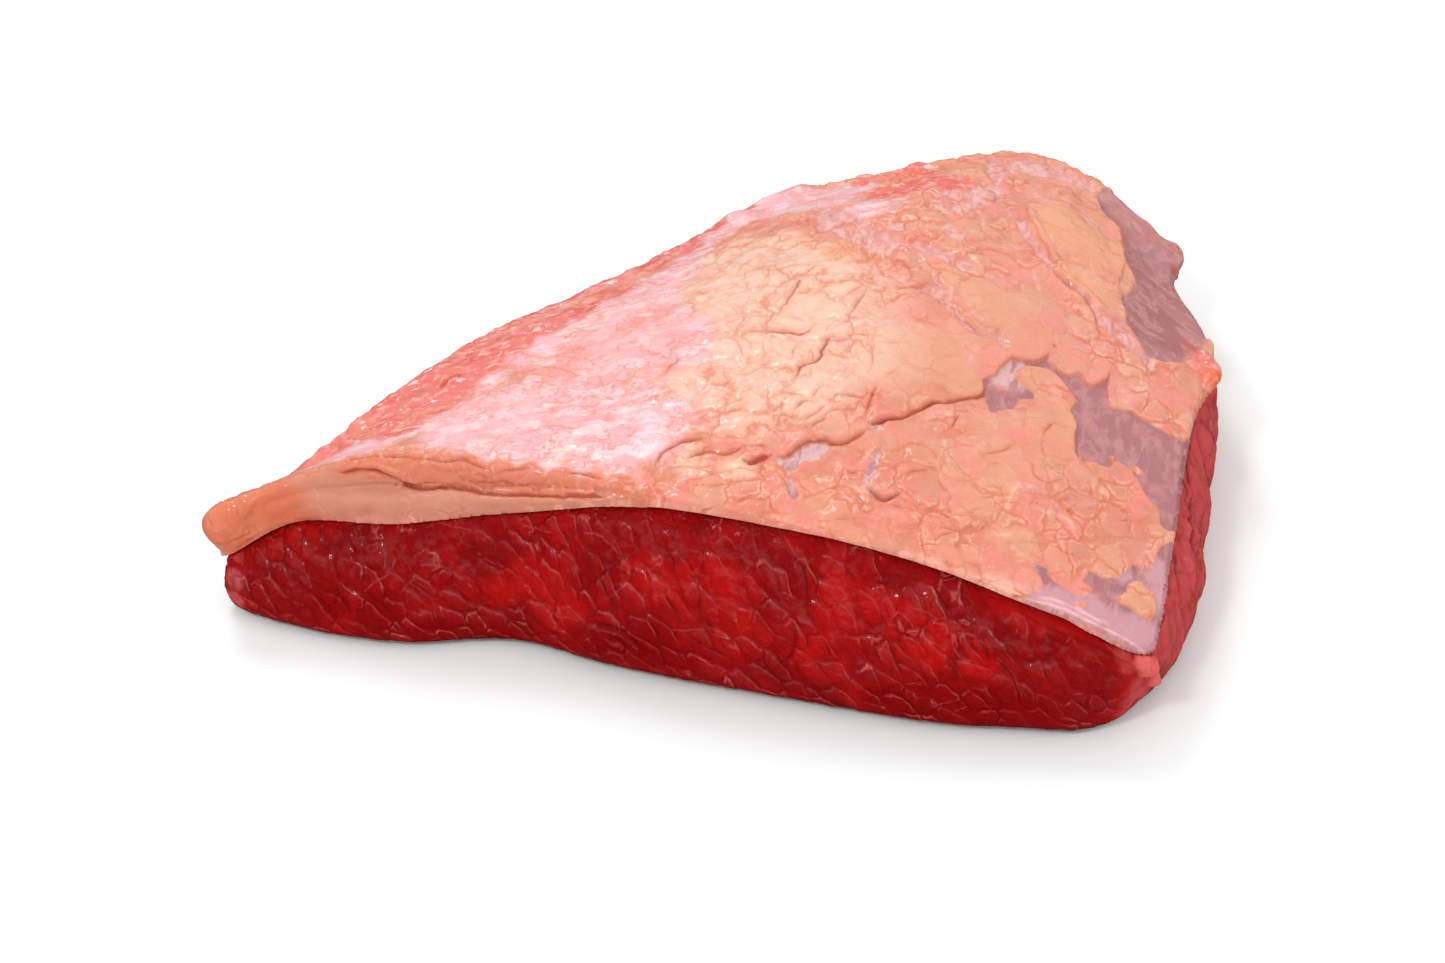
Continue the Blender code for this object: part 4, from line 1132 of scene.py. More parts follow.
leanRidges = {
    "topStreak": (0.3, 0.0, [(440, 523), (450, 526), (460, 528), (468, 530)]),
    "topStreakEast": (0.3, 0.0, [(524, 525), (532, 527), (540, 530), (548, 532)]),
    "topStreakFar": (0.3, 0.0, [(588, 533), (596, 534), (602, 536), (607, 542), (612, 548), (617, 553)]),
    "westCap": (0.3, 0.0, [(424, 565), (436, 565), (446, 569), (455, 574), (463, 580), (469, 585)]),
    "westPeak": (0.3, 0.0, [(366, 590), (372, 584), (379, 580), (386, 576), (391, 570), (394, 562)]),
    "westPeakLow": (0.25, 0.0, [(403, 590), (409, 583), (417, 579), (424, 577)]),
    "middleCap": (0.25, 0.0, [(480, 556), (490, 562), (502, 567), (509, 571)]),
    "curl": (0.35, 0.0, [(508, 601), (518, 601), (527, 603), (523, 608)]),
    "curlEast": (0.35, 0.0, [(538, 606), (545, 605), (550, 609), (547, 611)]),
    "wetKnots": (0.4, 0.0, [(553, 614), (561, 617), (569, 617), (577, 620)]),
    "lobeTop": (0.4, 0.0, [(590, 628), (600, 629), (612, 630), (622, 635), (630, 641), (637, 647)]),
    "peak": (0.35, 0.0, [(610, 597), (617, 592), (622, 587), (626, 582), (630, 588), (637, 594), (642, 600)]),
    "slash": (0.35, 0.0, [(644, 596), (651, 598), (658, 601)]),
    "middlePeak": (0.25, 0.0, [(719, 541), (724, 536), (730, 541), (734, 547)]),
    "thread": (0.25, 0.0, [(672, 631), (684, 632), (695, 630), (703, 630)]),
    "eastThread": (0.3, 0.0, [(776, 637), (783, 639), (789, 642)]),
    "eastCap": (0.35, 0.0, [(833, 603), (840, 605), (846, 609), (851, 615)]),
    "bead": (0.3, 0.0, [(839, 675), (846, 674), (853, 672), (860, 670)]),
    "farCap": (0.3, 0.0, [(893, 617), (897, 612), (902, 614), (907, 619), (911, 625)]),
    "farHook": (0.3, 0.0, [(915, 609), (922, 611), (930, 614), (934, 618)]),
    "farBend": (0.3, 0.0, [(923, 632), (924, 640), (933, 643), (941, 648)]),
    "farCurl": (0.3, 0.0, [(955, 651), (959, 657), (966, 661), (972, 662)]),
    "farLine": (0.3, 0.0, [(962, 634), (970, 635), (978, 640), (986, 645)]),
    "swellThread": (0.25, 0.0, [(935, 706), (945, 703), (956, 701)]),
    "swellBead": (0.25, 0.0, [(903, 686), (911, 684), (919, 684)]),
    "swellDash": (0.25, 0.0, [(955, 712), (961, 709), (968, 706)]),
    "bendEast": (0.35, 0.0, [(1000, 660), (1008, 668), (1015, 676), (1019, 686), (1025, 694), (1030, 701)]),
    "nearNotch": (0.35, 0.0, [(1014, 616), (1018, 622), (1017, 629)]),
    "bandStreak": (0.25, 0.0, [(1110, 636), (1118, 643), (1126, 650), (1133, 656)]),
    "bandStreakLow": (0.25, 0.0, [(1104, 643), (1113, 651), (1122, 658), (1129, 661)]),
    "footCurl": (0.3, 0.0, [(1108, 710), (1116, 711), (1124, 706)]),
    "sideCurl": (0.3, 0.0, [(1169, 560), (1172, 565), (1173, 572)]),
    "sideCurlHigh": (0.3, 0.0, [(1171, 545), (1173, 551), (1172, 556)]),
}

leanZones = {
    "bright": [
        (545, 585, 11), (500, 592, 6), (570, 605, 6), (560, 615, 6), (650, 580, 8), (700, 590, 10), (820, 660, 9),
        (300, 545, 6), (740, 640, 9), (730, 600, 10), (880, 630, 12), (930, 640, 9), (840, 600, 8), (980, 660, 6),
    ],
    "side": [
        (1170, 470, 10), (1180, 500, 12), (1195, 480, 12), (1190, 540, 14), (1175, 580, 12), (1185, 600, 12),
        (1173, 612, 6), (1200, 440, 10), (1205, 520, 10), (1172, 638, 4), (234, 580, 3.5), (234, 600, 3.5),
    ],
    "smooth": [
        (1020, 605, 5), (1045, 612, 6), (1070, 622, 6), (1095, 635, 7), (1115, 648, 7), (1130, 658, 6),
        (1130, 685, 6),
    ],
    "tag": [(1147, 667, 3.2), (1151, 676, 2.8), (1142, 659, 2.6)],
    "corner": [(1130, 668, 3), (1124, 654, 3), (235, 604, 2.5), (236, 557, 2.0)],
    "deep": [
        (885, 700, 7), (910, 704, 8), (940, 704, 9), (970, 706, 9), (1000, 708, 9), (1030, 712, 7), (640, 650, 7),
        (610, 645, 6), (585, 640, 6), (660, 640, 6), (680, 660, 6), (500, 640, 6), (430, 635, 6), (380, 610, 6),
        (330, 600, 6),
    ],
    "round": [(253, 560, 4), (254, 575, 4.5), (254, 590, 4.5), (256, 605, 4), (240, 560, 4), (240, 600, 4)],
    "dark": [
        (1085, 665, 9), (1100, 690, 8), (1060, 650, 6), (620, 640, 6), (470, 635, 6), (640, 625, 6), (300, 600, 9),
        (270, 590, 9), (330, 570, 9), (960, 600, 8), (900, 575, 6), (760, 525, 7), (700, 520, 6), (820, 700, 9),
        (790, 680, 7), (1050, 700, 10), (1000, 640, 7), (360, 560, 10), (300, 560, 8), (420, 545, 8), (380, 620, 8),
        (480, 560, 7), (520, 620, 6), (600, 560, 6),
    ],
}

leanSwellings = [
    (1140, 690, 6, 1.2), (1120, 712, 6, 0.8), (585, 640, 6, 0.8), (960, 700, 9, 0.5), (680, 665, 6, 0.5),
    (1195, 620, 6, 0.8), (1206, 440, 5, 0.7), (1208, 520, 5, 0.8), (235, 590, 3, 0.5), (1142, 659, 2.6, 2.2),
    (1147, 667, 3.0, 3.4), (1151, 676, 2.6, 2.8),
]

lean = {
    "voxel": 0.52 * mm,
    "triangles": 196000,
    "foldWidth": 0.55,  # the rest in millimetres
    "grainSize": 4.8,
    "grainDepth": 0.5,
    "sideFoldSize": 7.5,
    "sideFoldDepth": 1.1,
    "coverReach": 0.9,  # the fat hides what is nearer than this
    "tableReach": 0.35,  # and the table what is lower than this
    "roundings": 60,
    "seed": 5,
    "mottleSize": 12.0,  # from here on for the finish
    "fineSize": 2.2,
    "lineWidth": 0.16,
    "lineSpread": 0.2,
    "shadeWidth": 1.2,
    "wetSkin": {"Pool Size": 3.0, "Grain Size": 0.8, "Dry": 0.1, "Roughness": 0.5},
    "bump": {"Strength": 0.6, "Distance": 0.0009},
    "shader": {"Coat Roughness": 0.1, "Coat IOR": 1.34, "Specular IOR Level": 0.03},
}


def grainPattern(g, where, size):
    # Muscle cut across the grain: long cells that lean down to the right on the front face.
    along, across = where.dot((0.62, 0.1, -0.78)), where.dot((0.78, -0.1, 0.62))
    turned = g.vector(along * 0.55, across, where.dot((0.0, 0.8, 0.0)))
    bent = g.wander(turned, size * 0.9, size * 0.34, 3.0)
    fine = g.edges(g.wander(turned, size * 0.5, size * 0.15), size * 0.42)
    isOpen = g.noise(where, size * 2.2).rise(0.4, 0.6)
    return g.edges(bent, size), isOpen, fine, cellTilt(g, bent, size, (-0.5, 0.8, 0.0))


def uprightPattern(g, where, size):
    # Folds of the flank, running down it.
    bent = g.wander(where * (1.0, 1.0, 0.22), size * 1.2, size * 0.3)
    return g.edges(bent, size), g.noise(where, size * 1.4).rise(0.3, 0.6)


def leanReliefTree(material):
    inputs = {
        "Geometry": "Geometry",
        **dict.fromkeys(("Folds", "Ridges", "Fat"), "Object"),
        **sizeInputs(
            lean, "Fold Width", "Grain Size", "Grain Depth", "Side Fold Size", "Side Fold Depth",
            "Cover Reach", "Table Reach", "Seed"
        ),
        "Material": material,
    }
    g, given, position, normal, rest, zone = openRelief("leanRelief", inputs, leanZones)
    covered, gap = hiddenBehind(g, position, normal, given["Fat"], given["Cover Reach"])
    level = position.dot(zAxis) * 1000
    under = level.math("LESS_THAN", given["Table Reach"])

    # traced folds and pale ridges
    uneven = strayed(g, position, rest, 3.0, 0.4)
    distance, aside, depth, step = foldField(g, given["Folds"], uneven)
    groove, shoulder = foldShape(given, distance, depth, g.noise(rest, 6.0), 2.4, 1.8)
    lip = aside.rise(-0.35, 0.6) * distance.rise(4.5, 0.5)
    foldHeight = shoulder * depth * 0.3 - groove * depth + lip * step
    ridgeAway, ridgeSide, ridgeRise, _ = foldField(g, given["Ridges"], uneven)
    ridge = ridgeAway.hill(0.5) * ridgeRise * 0.6

    # grain on the cut face, and upright folds on the flanks
    edge, isOpen, fine, tilt = grainPattern(g, rest, given["Grain Size"])
    lips = tilt * edge.rise(0.0, 0.5) * (isOpen * 0.7 + 0.4)
    grainHeight = edge.rise(0.0, 1.5) * (isOpen * 0.6 + 0.3) + lips * 1.3 - 0.4 - edge.hill(0.35) * isOpen * 0.45
    grainHeight = grainHeight * given["Grain Depth"] + (fine.rise(0.0, 0.7) - 0.5) * 0.22
    sideEdge, sideOpen = uprightPattern(g, rest, given["Side Fold Size"])
    sideHeight = (sideEdge.rise(0.0, 3.0) * (sideOpen * 0.5 + 0.5) - 0.5) * given["Side Fold Depth"]
    fibre = g.noise(rest * (1.0, 1.0, 0.3), 2.2, 3.0, 0.6) - 0.5
    flank = normal.dot(xAxis).rise(0.6, 0.85).most(normal.dot(yAxis).rise(0.1, 0.4) * 0.8)
    soft = g.sway(rest, 9.0) * 1.3 + g.sway(rest, 3.4) * 0.35
    height = g.mix(flank, grainHeight, sideHeight + fibre * 0.45) * (1 - zone["smooth"] * 0.8) + soft
    height = height * (1 - groove) + foldHeight + ridge

    # nothing moves where the fat or the table covers it, and the relief fades out at the fat's edge
    free = (1 - covered) * (1 - under)
    faded = height * gap.rise(0.4, 2.6, 0.2, 1.0) * level.rise(0.0, 9.0, 0.3, 1.0) + zone["swelling"]
    raised = roundedOff(g, position, zone["round"] * free, lean["roundings"]) + normal * (faded * free * mm)
    split = g.add("ShaderNodeSeparateXYZ", {0: raised})
    x, y, z = (Field(g, socket) for socket in split.outputs)
    tall = z.most(0.0)
    attributes = {
        "rest": rest,
        "foldSide": aside,
        "foldNear": distance,
        "foldDepth": depth * free,
        "ridgeSide": ridgeSide,
        "ridgeNear": ridgeAway,
        "underFat": gap,
        "level": tall * 1000,
        "flank": flank,
        "hidden": covered.most(under),
    }
    return closeTree(g, given["Geometry"], attributes, g.vector(x, y, tall), given["Material"])


def triangleCount(piece):
    return sum(len(p.vertices) - 2 for p in piece.data.polygons)


def thinHidden(piece, limit):
    # Thins the faces that the other layer or the table hides, down to a triangle count.
    mesh = piece.data
    hidden = np.zeros(len(mesh.vertices), np.float32)
    mesh.attributes["hidden"].data.foreach_get("value", hidden)
    edges = np.zeros(len(mesh.edges) * 2, np.int32)
    mesh.edges.foreach_get("vertices", edges)
    starts, ends = edges.reshape(-1, 2).T
    for _ in range(meshing["marginRings"]):
        low = np.minimum(hidden[starts], hidden[ends])
        np.minimum.at(hidden, starts, low)
        np.minimum.at(hidden, ends, low)
    group = piece.vertex_groups.new(name="hidden")
    group.add(np.nonzero(hidden > 0.5)[0].tolist(), 1.0, "REPLACE")
    for groupName in ("hidden", ""):  # then all of it, if the hidden faces weren't enough
        triangles = triangleCount(piece)
        if triangles > limit:
            thin = piece.modifiers.new("thin", "DECIMATE")
            thin.ratio = limit / triangles
            thin.vertex_group = groupName
            bakeModifiers(piece)
    piece.vertex_groups.clear()
    print(piece.name, "has", triangleCount(piece), "triangles")


def newMaterial(name):
    material = bpy.data.materials.new(name)
    material.use_nodes = True
    return material, Graph(material.node_tree), material.node_tree.nodes["Principled BSDF"]


def setShader(graph, shader, fields, numbers):
    for name, value in fields.items():
        graph.tree.links.new(value.socket, shader.inputs[name])
    for name, value in numbers.items():
        shader.inputs[name].default_value = value


def attribute(graph, name, output="Fac"):
    return graph.field("ShaderNodeAttribute", {}, output, attribute_name=name)


palette = {
    "cream": (0.85, 0.56, 0.425),
    "peach": (0.69, 0.26, 0.17),
    "apricot": (0.74, 0.33, 0.20),
    "orange": (0.80, 0.235, 0.125),
    "pink": (0.86, 0.455, 0.49),
    "pale": (0.89, 0.62, 0.655),
    "coral": (0.82, 0.22, 0.17),
    "bandRed": (0.80, 0.125, 0.11),
    "bandPale": (0.90, 0.45, 0.40),
    "valley": (0.70, 0.29, 0.26),
    "valleyPale": (0.80, 0.44, 0.42),
    # rim: the pale cream of the fat's rims, also laid as a painted highlight on lobe lips and ridges
    "rim": (0.92, 0.55, 0.43),
    # partly the silverskin's own darker colour, partly painted shade on the flank turned from the light
    "dusk": (0.37, 0.108, 0.108),
    "heel": (0.65, 0.33, 0.365),
    "membrane": (0.88, 0.50, 0.51),
    "nub": (0.80, 0.14, 0.03),
    "veil": (0.50, 0.19, 0.175),
    "lilac": (0.42, 0.165, 0.175),
    "lilacPale": (0.53, 0.25, 0.26),
    "lilacPink": (0.62, 0.235, 0.22),
    # fold colours: the folds' own redder colour, deepened with depth as painted shade
    "foldRed": (0.50, 0.09, 0.055),
    "foldOrange": (0.68, 0.19, 0.10),
    "cutTip": (0.72, 0.145, 0.055),
    "cutPeach": (0.61, 0.145, 0.072),
    "cutCream": (0.66, 0.295, 0.205),
    "layer": (0.70, 0.19, 0.10),
    "blush": (0.80, 0.26, 0.21),
    "butter": (0.79, 0.40, 0.255),
    # painted glints: small pale specks of wet highlight
    "glintSpeck": (0.98, 0.74, 0.67),
    "milky": (0.74, 0.48, 0.47),
    "honey": (0.82, 0.36, 0.19),
    "meat": (0.32, 0.002, 0.003),
    "meatBright": (0.50, 0.004, 0.003),
    "meatOrange": (0.42, 0.004, 0.003),
    # meatPink: the flanks' pinker skin, also laid as painted light on the flanks and on the raised side of grain cells
    "meatPink": (0.58, 0.075, 0.075),
    "meatDark": (0.20, 0.001, 0.001),
    # crease: dark red for creases and grain borders, partly their own colour and partly painted shade, and for the
    # painted contact shadow at the foot
    "crease": (0.11, 0.001, 0.001),
    "meatDeep": (0.25, 0.0005, 0.0005),
    # the pale membrane film by the fat, also laid as painted highlights on ridges and grain borders
    "filmAndGlint": (0.66, 0.15, 0.14),
    "tag": (0.76, 0.13, 0.12),
}

def mottleGroup():
    # Soft patches of a second colour, at one size, with a finer ragged edge.
    inputs = {
        "Where": "Vector", "Size": 10.0, "Low": 0.45, "High": 0.6, "Amount": 1.0, "Base": "Color", "Patches": "Color"
    }
    g, given = openTree("softPatches", "ShaderNodeTree", inputs, {"Color": "Color"})
    share = g.noise(given["Where"], given["Size"], 3.0, 0.55).rise(given["Low"], given["High"])
    g.add("NodeGroupOutput", {0: g.tint(share * given["Amount"], given["Base"], given["Patches"])})
    return g.tree


def wetGroup():
    # A wet skin: how thick the water lies, how rough the flesh under it is, and its fine grain.
    inputs = {"Where": "Vector", "Pool Size": 5.0, "Grain Size": 1.0, "Dry": 0.2, "Roughness": 0.45, "More": 0.0}
    outputs = dict.fromkeys(("Wetness", "Roughness", "Grain"), "Float")
    g, given = openTree("wetSkin", "ShaderNodeTree", inputs, outputs)
    pools = g.noise(given["Where"], given["Pool Size"], 3.0, 0.6)
    wetness = (pools + given["More"]).rise(0.42, 0.62, given["Dry"], 1.0)
    grain = g.noise(given["Where"], given["Grain Size"], 3.0, 0.6)
    roughness = (given["Roughness"] + (grain - 0.5) * 0.25) - (wetness * 0.1)
    g.add("NodeGroupOutput", {0: wetness, 1: roughness, 2: grain})
    return g.tree


def lineGroup():
    # A thin line on the traced fold next to a point, and the soft shade beside it.
    inputs = {"Side": 0.0, "Near": 5.0, "Width": 0.3, "Shade Width": 1.2}
    g, given = openTree("foldLine", "ShaderNodeTree", inputs, {"Line": "Float", "Shade": "Float"})
    line = given["Side"].hill(given["Width"]) * given["Near"].rise(1.3, 0.6)
    g.add("NodeGroupOutput", {0: line, 1: given["Near"].hill(given["Shade Width"])})
    return g.tree


groups = {}


def placeGroup(graph, make, into):
    # A node of the group that the function makes, which is built once.
    if make not in groups:
        groups[make] = make()
    filled = {key: colour(value) for key, value in into.items()}
    node = graph.add("ShaderNodeGroup", filled, node_tree=groups[make])
    return [Field(graph, socket) for socket in node.outputs]


def patches(g, where, base, other, size, low, high, amount=1.0):
    into = {"Where": where, "Size": size, "Low": low, "High": high, "Amount": amount}
    return placeGroup(g, mottleGroup, {**into, "Base": base, "Patches": palette[other]})[0]


def foldLine(g, side, near, width, shadeWidth):
    return placeGroup(g, lineGroup, {"Side": side, "Near": near, "Width": width, "Shade Width": shadeWidth})


def paint(g, base, *layers):
    # Lays colours one over another. A layer is the value that places it, where that starts and is
    # full, how strong the layer then is, and its colour.
    for value, start, full, strength, other in layers:
        other = palette[other] if isinstance(other, str) else other
        base = g.tint(value.rise(start, full) * strength, base, other)
    return base


def glancing(g):
    # less coat where the surface turns away, so that the flesh keeps its colour there
    return g.field("ShaderNodeLayerWeight", {"Blend": 0.5}, "Facing").rise(0.5, 0.9, 1.0, 0.1)


def fatFinish():
    material, g, shader = newMaterial("wetFat")
    rest = attribute(g, "rest", "Vector")
    side, near, depth, ridgeSide, ridgeNear, patch, thin, lobed, plated = (
        attribute(g, name)
        for name in ("foldSide", "foldNear", "foldDepth", "ridgeSide", "ridgeNear", "patch", "thin", "lobed", "plated")
    )
    zone = {name: attribute(g, name) for name in fatZones}
    cream, band, tip, heel = zone["cream"], zone["band"], zone["tip"], zone["heel"]
    line, shade = foldLine(g, side, near, depth * fat["lineSpread"] + fat["lineWidth"], fat["shadeWidth"])
    _, rim = foldLine(g, ridgeSide, ridgeNear, 0.5, 0.6)
    lobeBent, big, bigOpen, small, smallOpen = lobePattern(g, rest, fat["lobeSize"])
    lobeLine = big.hill(0.32) * bigOpen * (lobed * 1.3).least(1.0)
    smallLine = small.hill(0.22) * smallOpen * lobed * 0.6
    lobeShade = (big.hill(1.2) * bigOpen * 0.6 + small.hill(0.7) * smallOpen * 0.25) * lobed
    plateEdge, plateOpen, plateRise = platePattern(g, rest, fat["plateSize"])
    plateLine = plateEdge.hill(0.28) * plateOpen * plated
    mottle = g.noise(rest, fat["mottleSize"], 3.0, 0.6)
    fine = g.noise(rest, fat["fineSize"], 3.0, 0.6)
    cloud, crumb = mottle - 0.5, fine - 0.5  # both swing about zero
    ragged = crumb * 0.8
    feather = cloud * 1.5 + crumb * 0.9

    # plates and lobes of different tones: each lobe has random numbers of its own
    tone = g.cells(lobeBent, fat["lobeSize"], output="Color")
    base = paint(
        g, palette["peach"],
        (plateRise * 0.6 + mottle, 0.3, 0.7, 1.0, "apricot"),
        (zone["smooth"] + cloud * 0.5, 0.1, 0.9, 0.7, "apricot"),
        (tone.dot(yAxis) + cloud * 0.6, 0.4, 0.9, 0.5, "butter"),
        (tone.dot(xAxis) + cloud * 0.9, 0.45, 0.9, 0.75, "blush"),
    )
    base = patches(g, rest, base, "coral", 15.0, 0.52, 0.7, 0.3)
    base = paint(
        g, base,
        (cream + cloud * 0.5, -0.1, 1.15, 1.0, "cream"),
        (zone["coral"] + crumb * 1.2, 0.2, 1.0, 0.3, "coral"),
        (zone["honey"] + cloud, 0.1, 0.9, 0.8, "honey"),
    )
    base = patches(g, rest, base, "orange", 4.5, 0.54, 0.76, 0.25)
    base = g.tint(big.rise(1.8, 0.2) * bigOpen * zone["back"] * 0.5, base, palette["valley"])

    # the drawn membrane: pink, and red along the band
    drawn = g.wander(g.vector(rest.dot(alongCut) * 0.62, rest.dot(acrossCut)), 6.0, 3.4)
    fold = g.noise(drawn, fat["wrinkleSize"], 3.0, 0.55)
    thread = g.noise(drawn, fat["threadSize"], 2.0, 0.5)
    wrinkle = (fold - 0.5).hill(0.016).most((thread - 0.5).hill(0.026) * 0.6) * mottle.rise(0.4, 0.54)
    skin = paint(g, palette["pink"], (fold, 0.4, 0.62, 1.0, "pale"))
    skin = patches(g, rest, skin, "coral", 7.0, 0.54, 0.74, 0.5)
    skin = paint(g, skin, (zone["coral"] + crumb, 0.1, 1.1, 0.35, "coral"))
    # painted highlight: pale glints along the threads of the membrane and the red band
    skin = paint(g, g.tint(wrinkle * 0.85, skin, palette["coral"]), (thread, 0.62, 0.72, 0.3, "glintSpeck"))
    red = patches(g, rest, palette["bandRed"], "bandPale", 3.0, 0.5, 0.66, 0.7)
    red = patches(g, rest, red, "orange", 9.0, 0.5, 0.62, 0.5)
    red = paint(g, g.tint(wrinkle * 0.5, red, palette["foldOrange"]), (thread, 0.62, 0.7, 0.85, "glintSpeck"))
    pinkish = zone["pink"].most(band)

    # over the lobes: the membrane and the red band, the cut face at the front, and its rims
    cut = patches(g, rest, palette["cutPeach"], "cutCream", 10.0, 0.3, 0.8, 0.6)
    base = paint(
        g, base,
        (pinkish + feather, 0.05, 0.8, 0.95, skin),
        (band.most(zone["red"]) + feather, 0.15, 0.75, 0.95, red),
        (zone["cut"] + crumb * 0.4, 0.15, 0.75, 1.0, cut),
        (zone["cutPale"] + cloud * 0.6, 0.1, 1.1, zone["cut"].rise(0.1, 0.7) * 0.7, "cutCream"),
        (tip + cloud * 0.6, 0.0, 1.3, 0.9, "cutTip"),
        (zone["rimCream"] + feather, 0.2, 0.9, 0.55, "rim"),
        (zone["layer"] + crumb * 0.5, 0.25, 0.7, 0.85, "layer"),
    )
    shaded = lobeShade + shade * depth * 0.3 + plateEdge.hill(1.3) * plateOpen * plated * 0.3
    base = g.tint(shaded * 0.55, base, palette["orange"])

    # valleys of thin fat, and bare silverskin
    streaks = g.noise(g.wander(rest * (1.0, 0.4, 1.0), 8.0, 3.0), 2.6, 2.0, 0.6)
    drawnOut = rest - rest.dot(downFlank) * 0.7 * downFlank
    wisps = g.noise(g.wander(drawnOut, 9.0, 3.0), 4.0, 4.0, 0.6)
    faded = zone["dusk"].most(zone["veil"]).rise(0.0, 0.6)
    swing = streaks - 0.5
    deep = paint(g, palette["valley"], (streaks, 0.4, 0.62, 1.0, "valleyPale"))
    clouded = paint(g, palette["lilacPale"], (streaks, 0.36, 0.54, 1.0, "milky"))
    bare = paint(g, palette["lilac"], (streaks, 0.46, 0.7, 1.0, "lilacPale"))
    bare = paint(
        g, patches(g, rest, bare, "lilacPink", 8.0, 0.48, 0.66, 0.6),
        # painted shade: the silverskin darker where the flank turns from the light, over its own darker colour
        (zone["dusk"] + swing * 1.5, 0.1, 0.9, 0.85, "dusk"),
        (wisps, 0.42, 0.66, faded * 0.6, "veil"),
        (heel + swing * 1.2, 0.1, 0.9, 0.8, "heel"),
        (zone["veil"] + ragged + (wisps - 0.5), 0.2, 0.8, 0.9, "veil"),
        (zone["milky"] + ragged, 0.1, 0.6, 0.85, clouded),
        (zone["red"] + feather * 0.7, 0.25, 1.0, 0.8, "foldRed"),
    )
    bare = g.tint((wisps - 0.55).hill(0.03) * faded * 0.25, bare, palette["milky"])
    bareness = patch + ragged + (wisps - 0.5) * faded * 5.0
    base = paint(
        g, base,
        (thin + ragged, -0.5, 0.7, 0.9, deep),
        (bareness, faded * -1.4 - 0.45, faded + 0.4, 1.0, bare),
        (zone["nub"] + crumb * 0.6, 0.1, 0.6, 1.0, "nub"),
    )

    # raised rims and lips are paler: on membrane ridges in their own colour, elsewhere as a painted highlight; the
    # lines between lobes and in the folds are darker, partly their own redder colour and partly painted shade
    raised = paint(g, palette["rim"], (heel, 0.2, 0.6, 1.0, "membrane"))
    base = g.tint((rim * (fine.rise(0.35, 0.6, 0.1, 0.6) + heel * 0.35)).least(0.9), base, raised)
    # painted highlight: a pale band just inside each lobe's border, on its lip
    lip = (big - 0.75).hill(0.28) * bigOpen.most(smallOpen * 0.5) * lobed * (1 - cream * 0.7)
    base = g.tint((lip * fine.rise(0.35, 0.6) * 0.65).least(1.0), base, palette["rim"])
    # painted shade: darker lines between lobes and plates, and fold lines darker and redder with depth, over the
    # folds' own colour
    dark = (lobeLine * 0.75).most(plateLine * 0.65).most(smallLine * 0.7) * (1 - cream * 0.2)
    dark = dark.most(shade * 0.3 * depth.least(1.0))
    base = g.tint(dark.least(0.9), base, palette["foldOrange"])
    crease = paint(g, palette["foldOrange"], (depth, 0.5, 1.1, 1.0, "foldRed"))
    base = g.tint((line * (depth * 0.9 + 0.1)).least(0.9), base, crease)

    more = band.most(tip) * 0.15 - zone["pink"] * 0.06 - zone["dusk"] * 0.1
    wetness, roughness, grain = placeGroup(g, wetGroup, {**fat["wetSkin"], "Where": rest, "More": more})
    height = grain * 0.4 + fine * (1.0 - zone["pink"].most(thin.rise(-1.0, 1.0)) * 0.7)
    height = height + (fold * 1.3 + thread * 0.5) * pinkish - line * depth * 0.4
    bump = g.field("ShaderNodeBump", {**fat["bump"], "Height": height})
    coat = wetness * glancing(g)
    fields = {"Base Color": base, "Roughness": roughness, "Normal": bump, "Coat Weight": coat}
    setShader(g, shader, fields, fat["shader"])
    return material


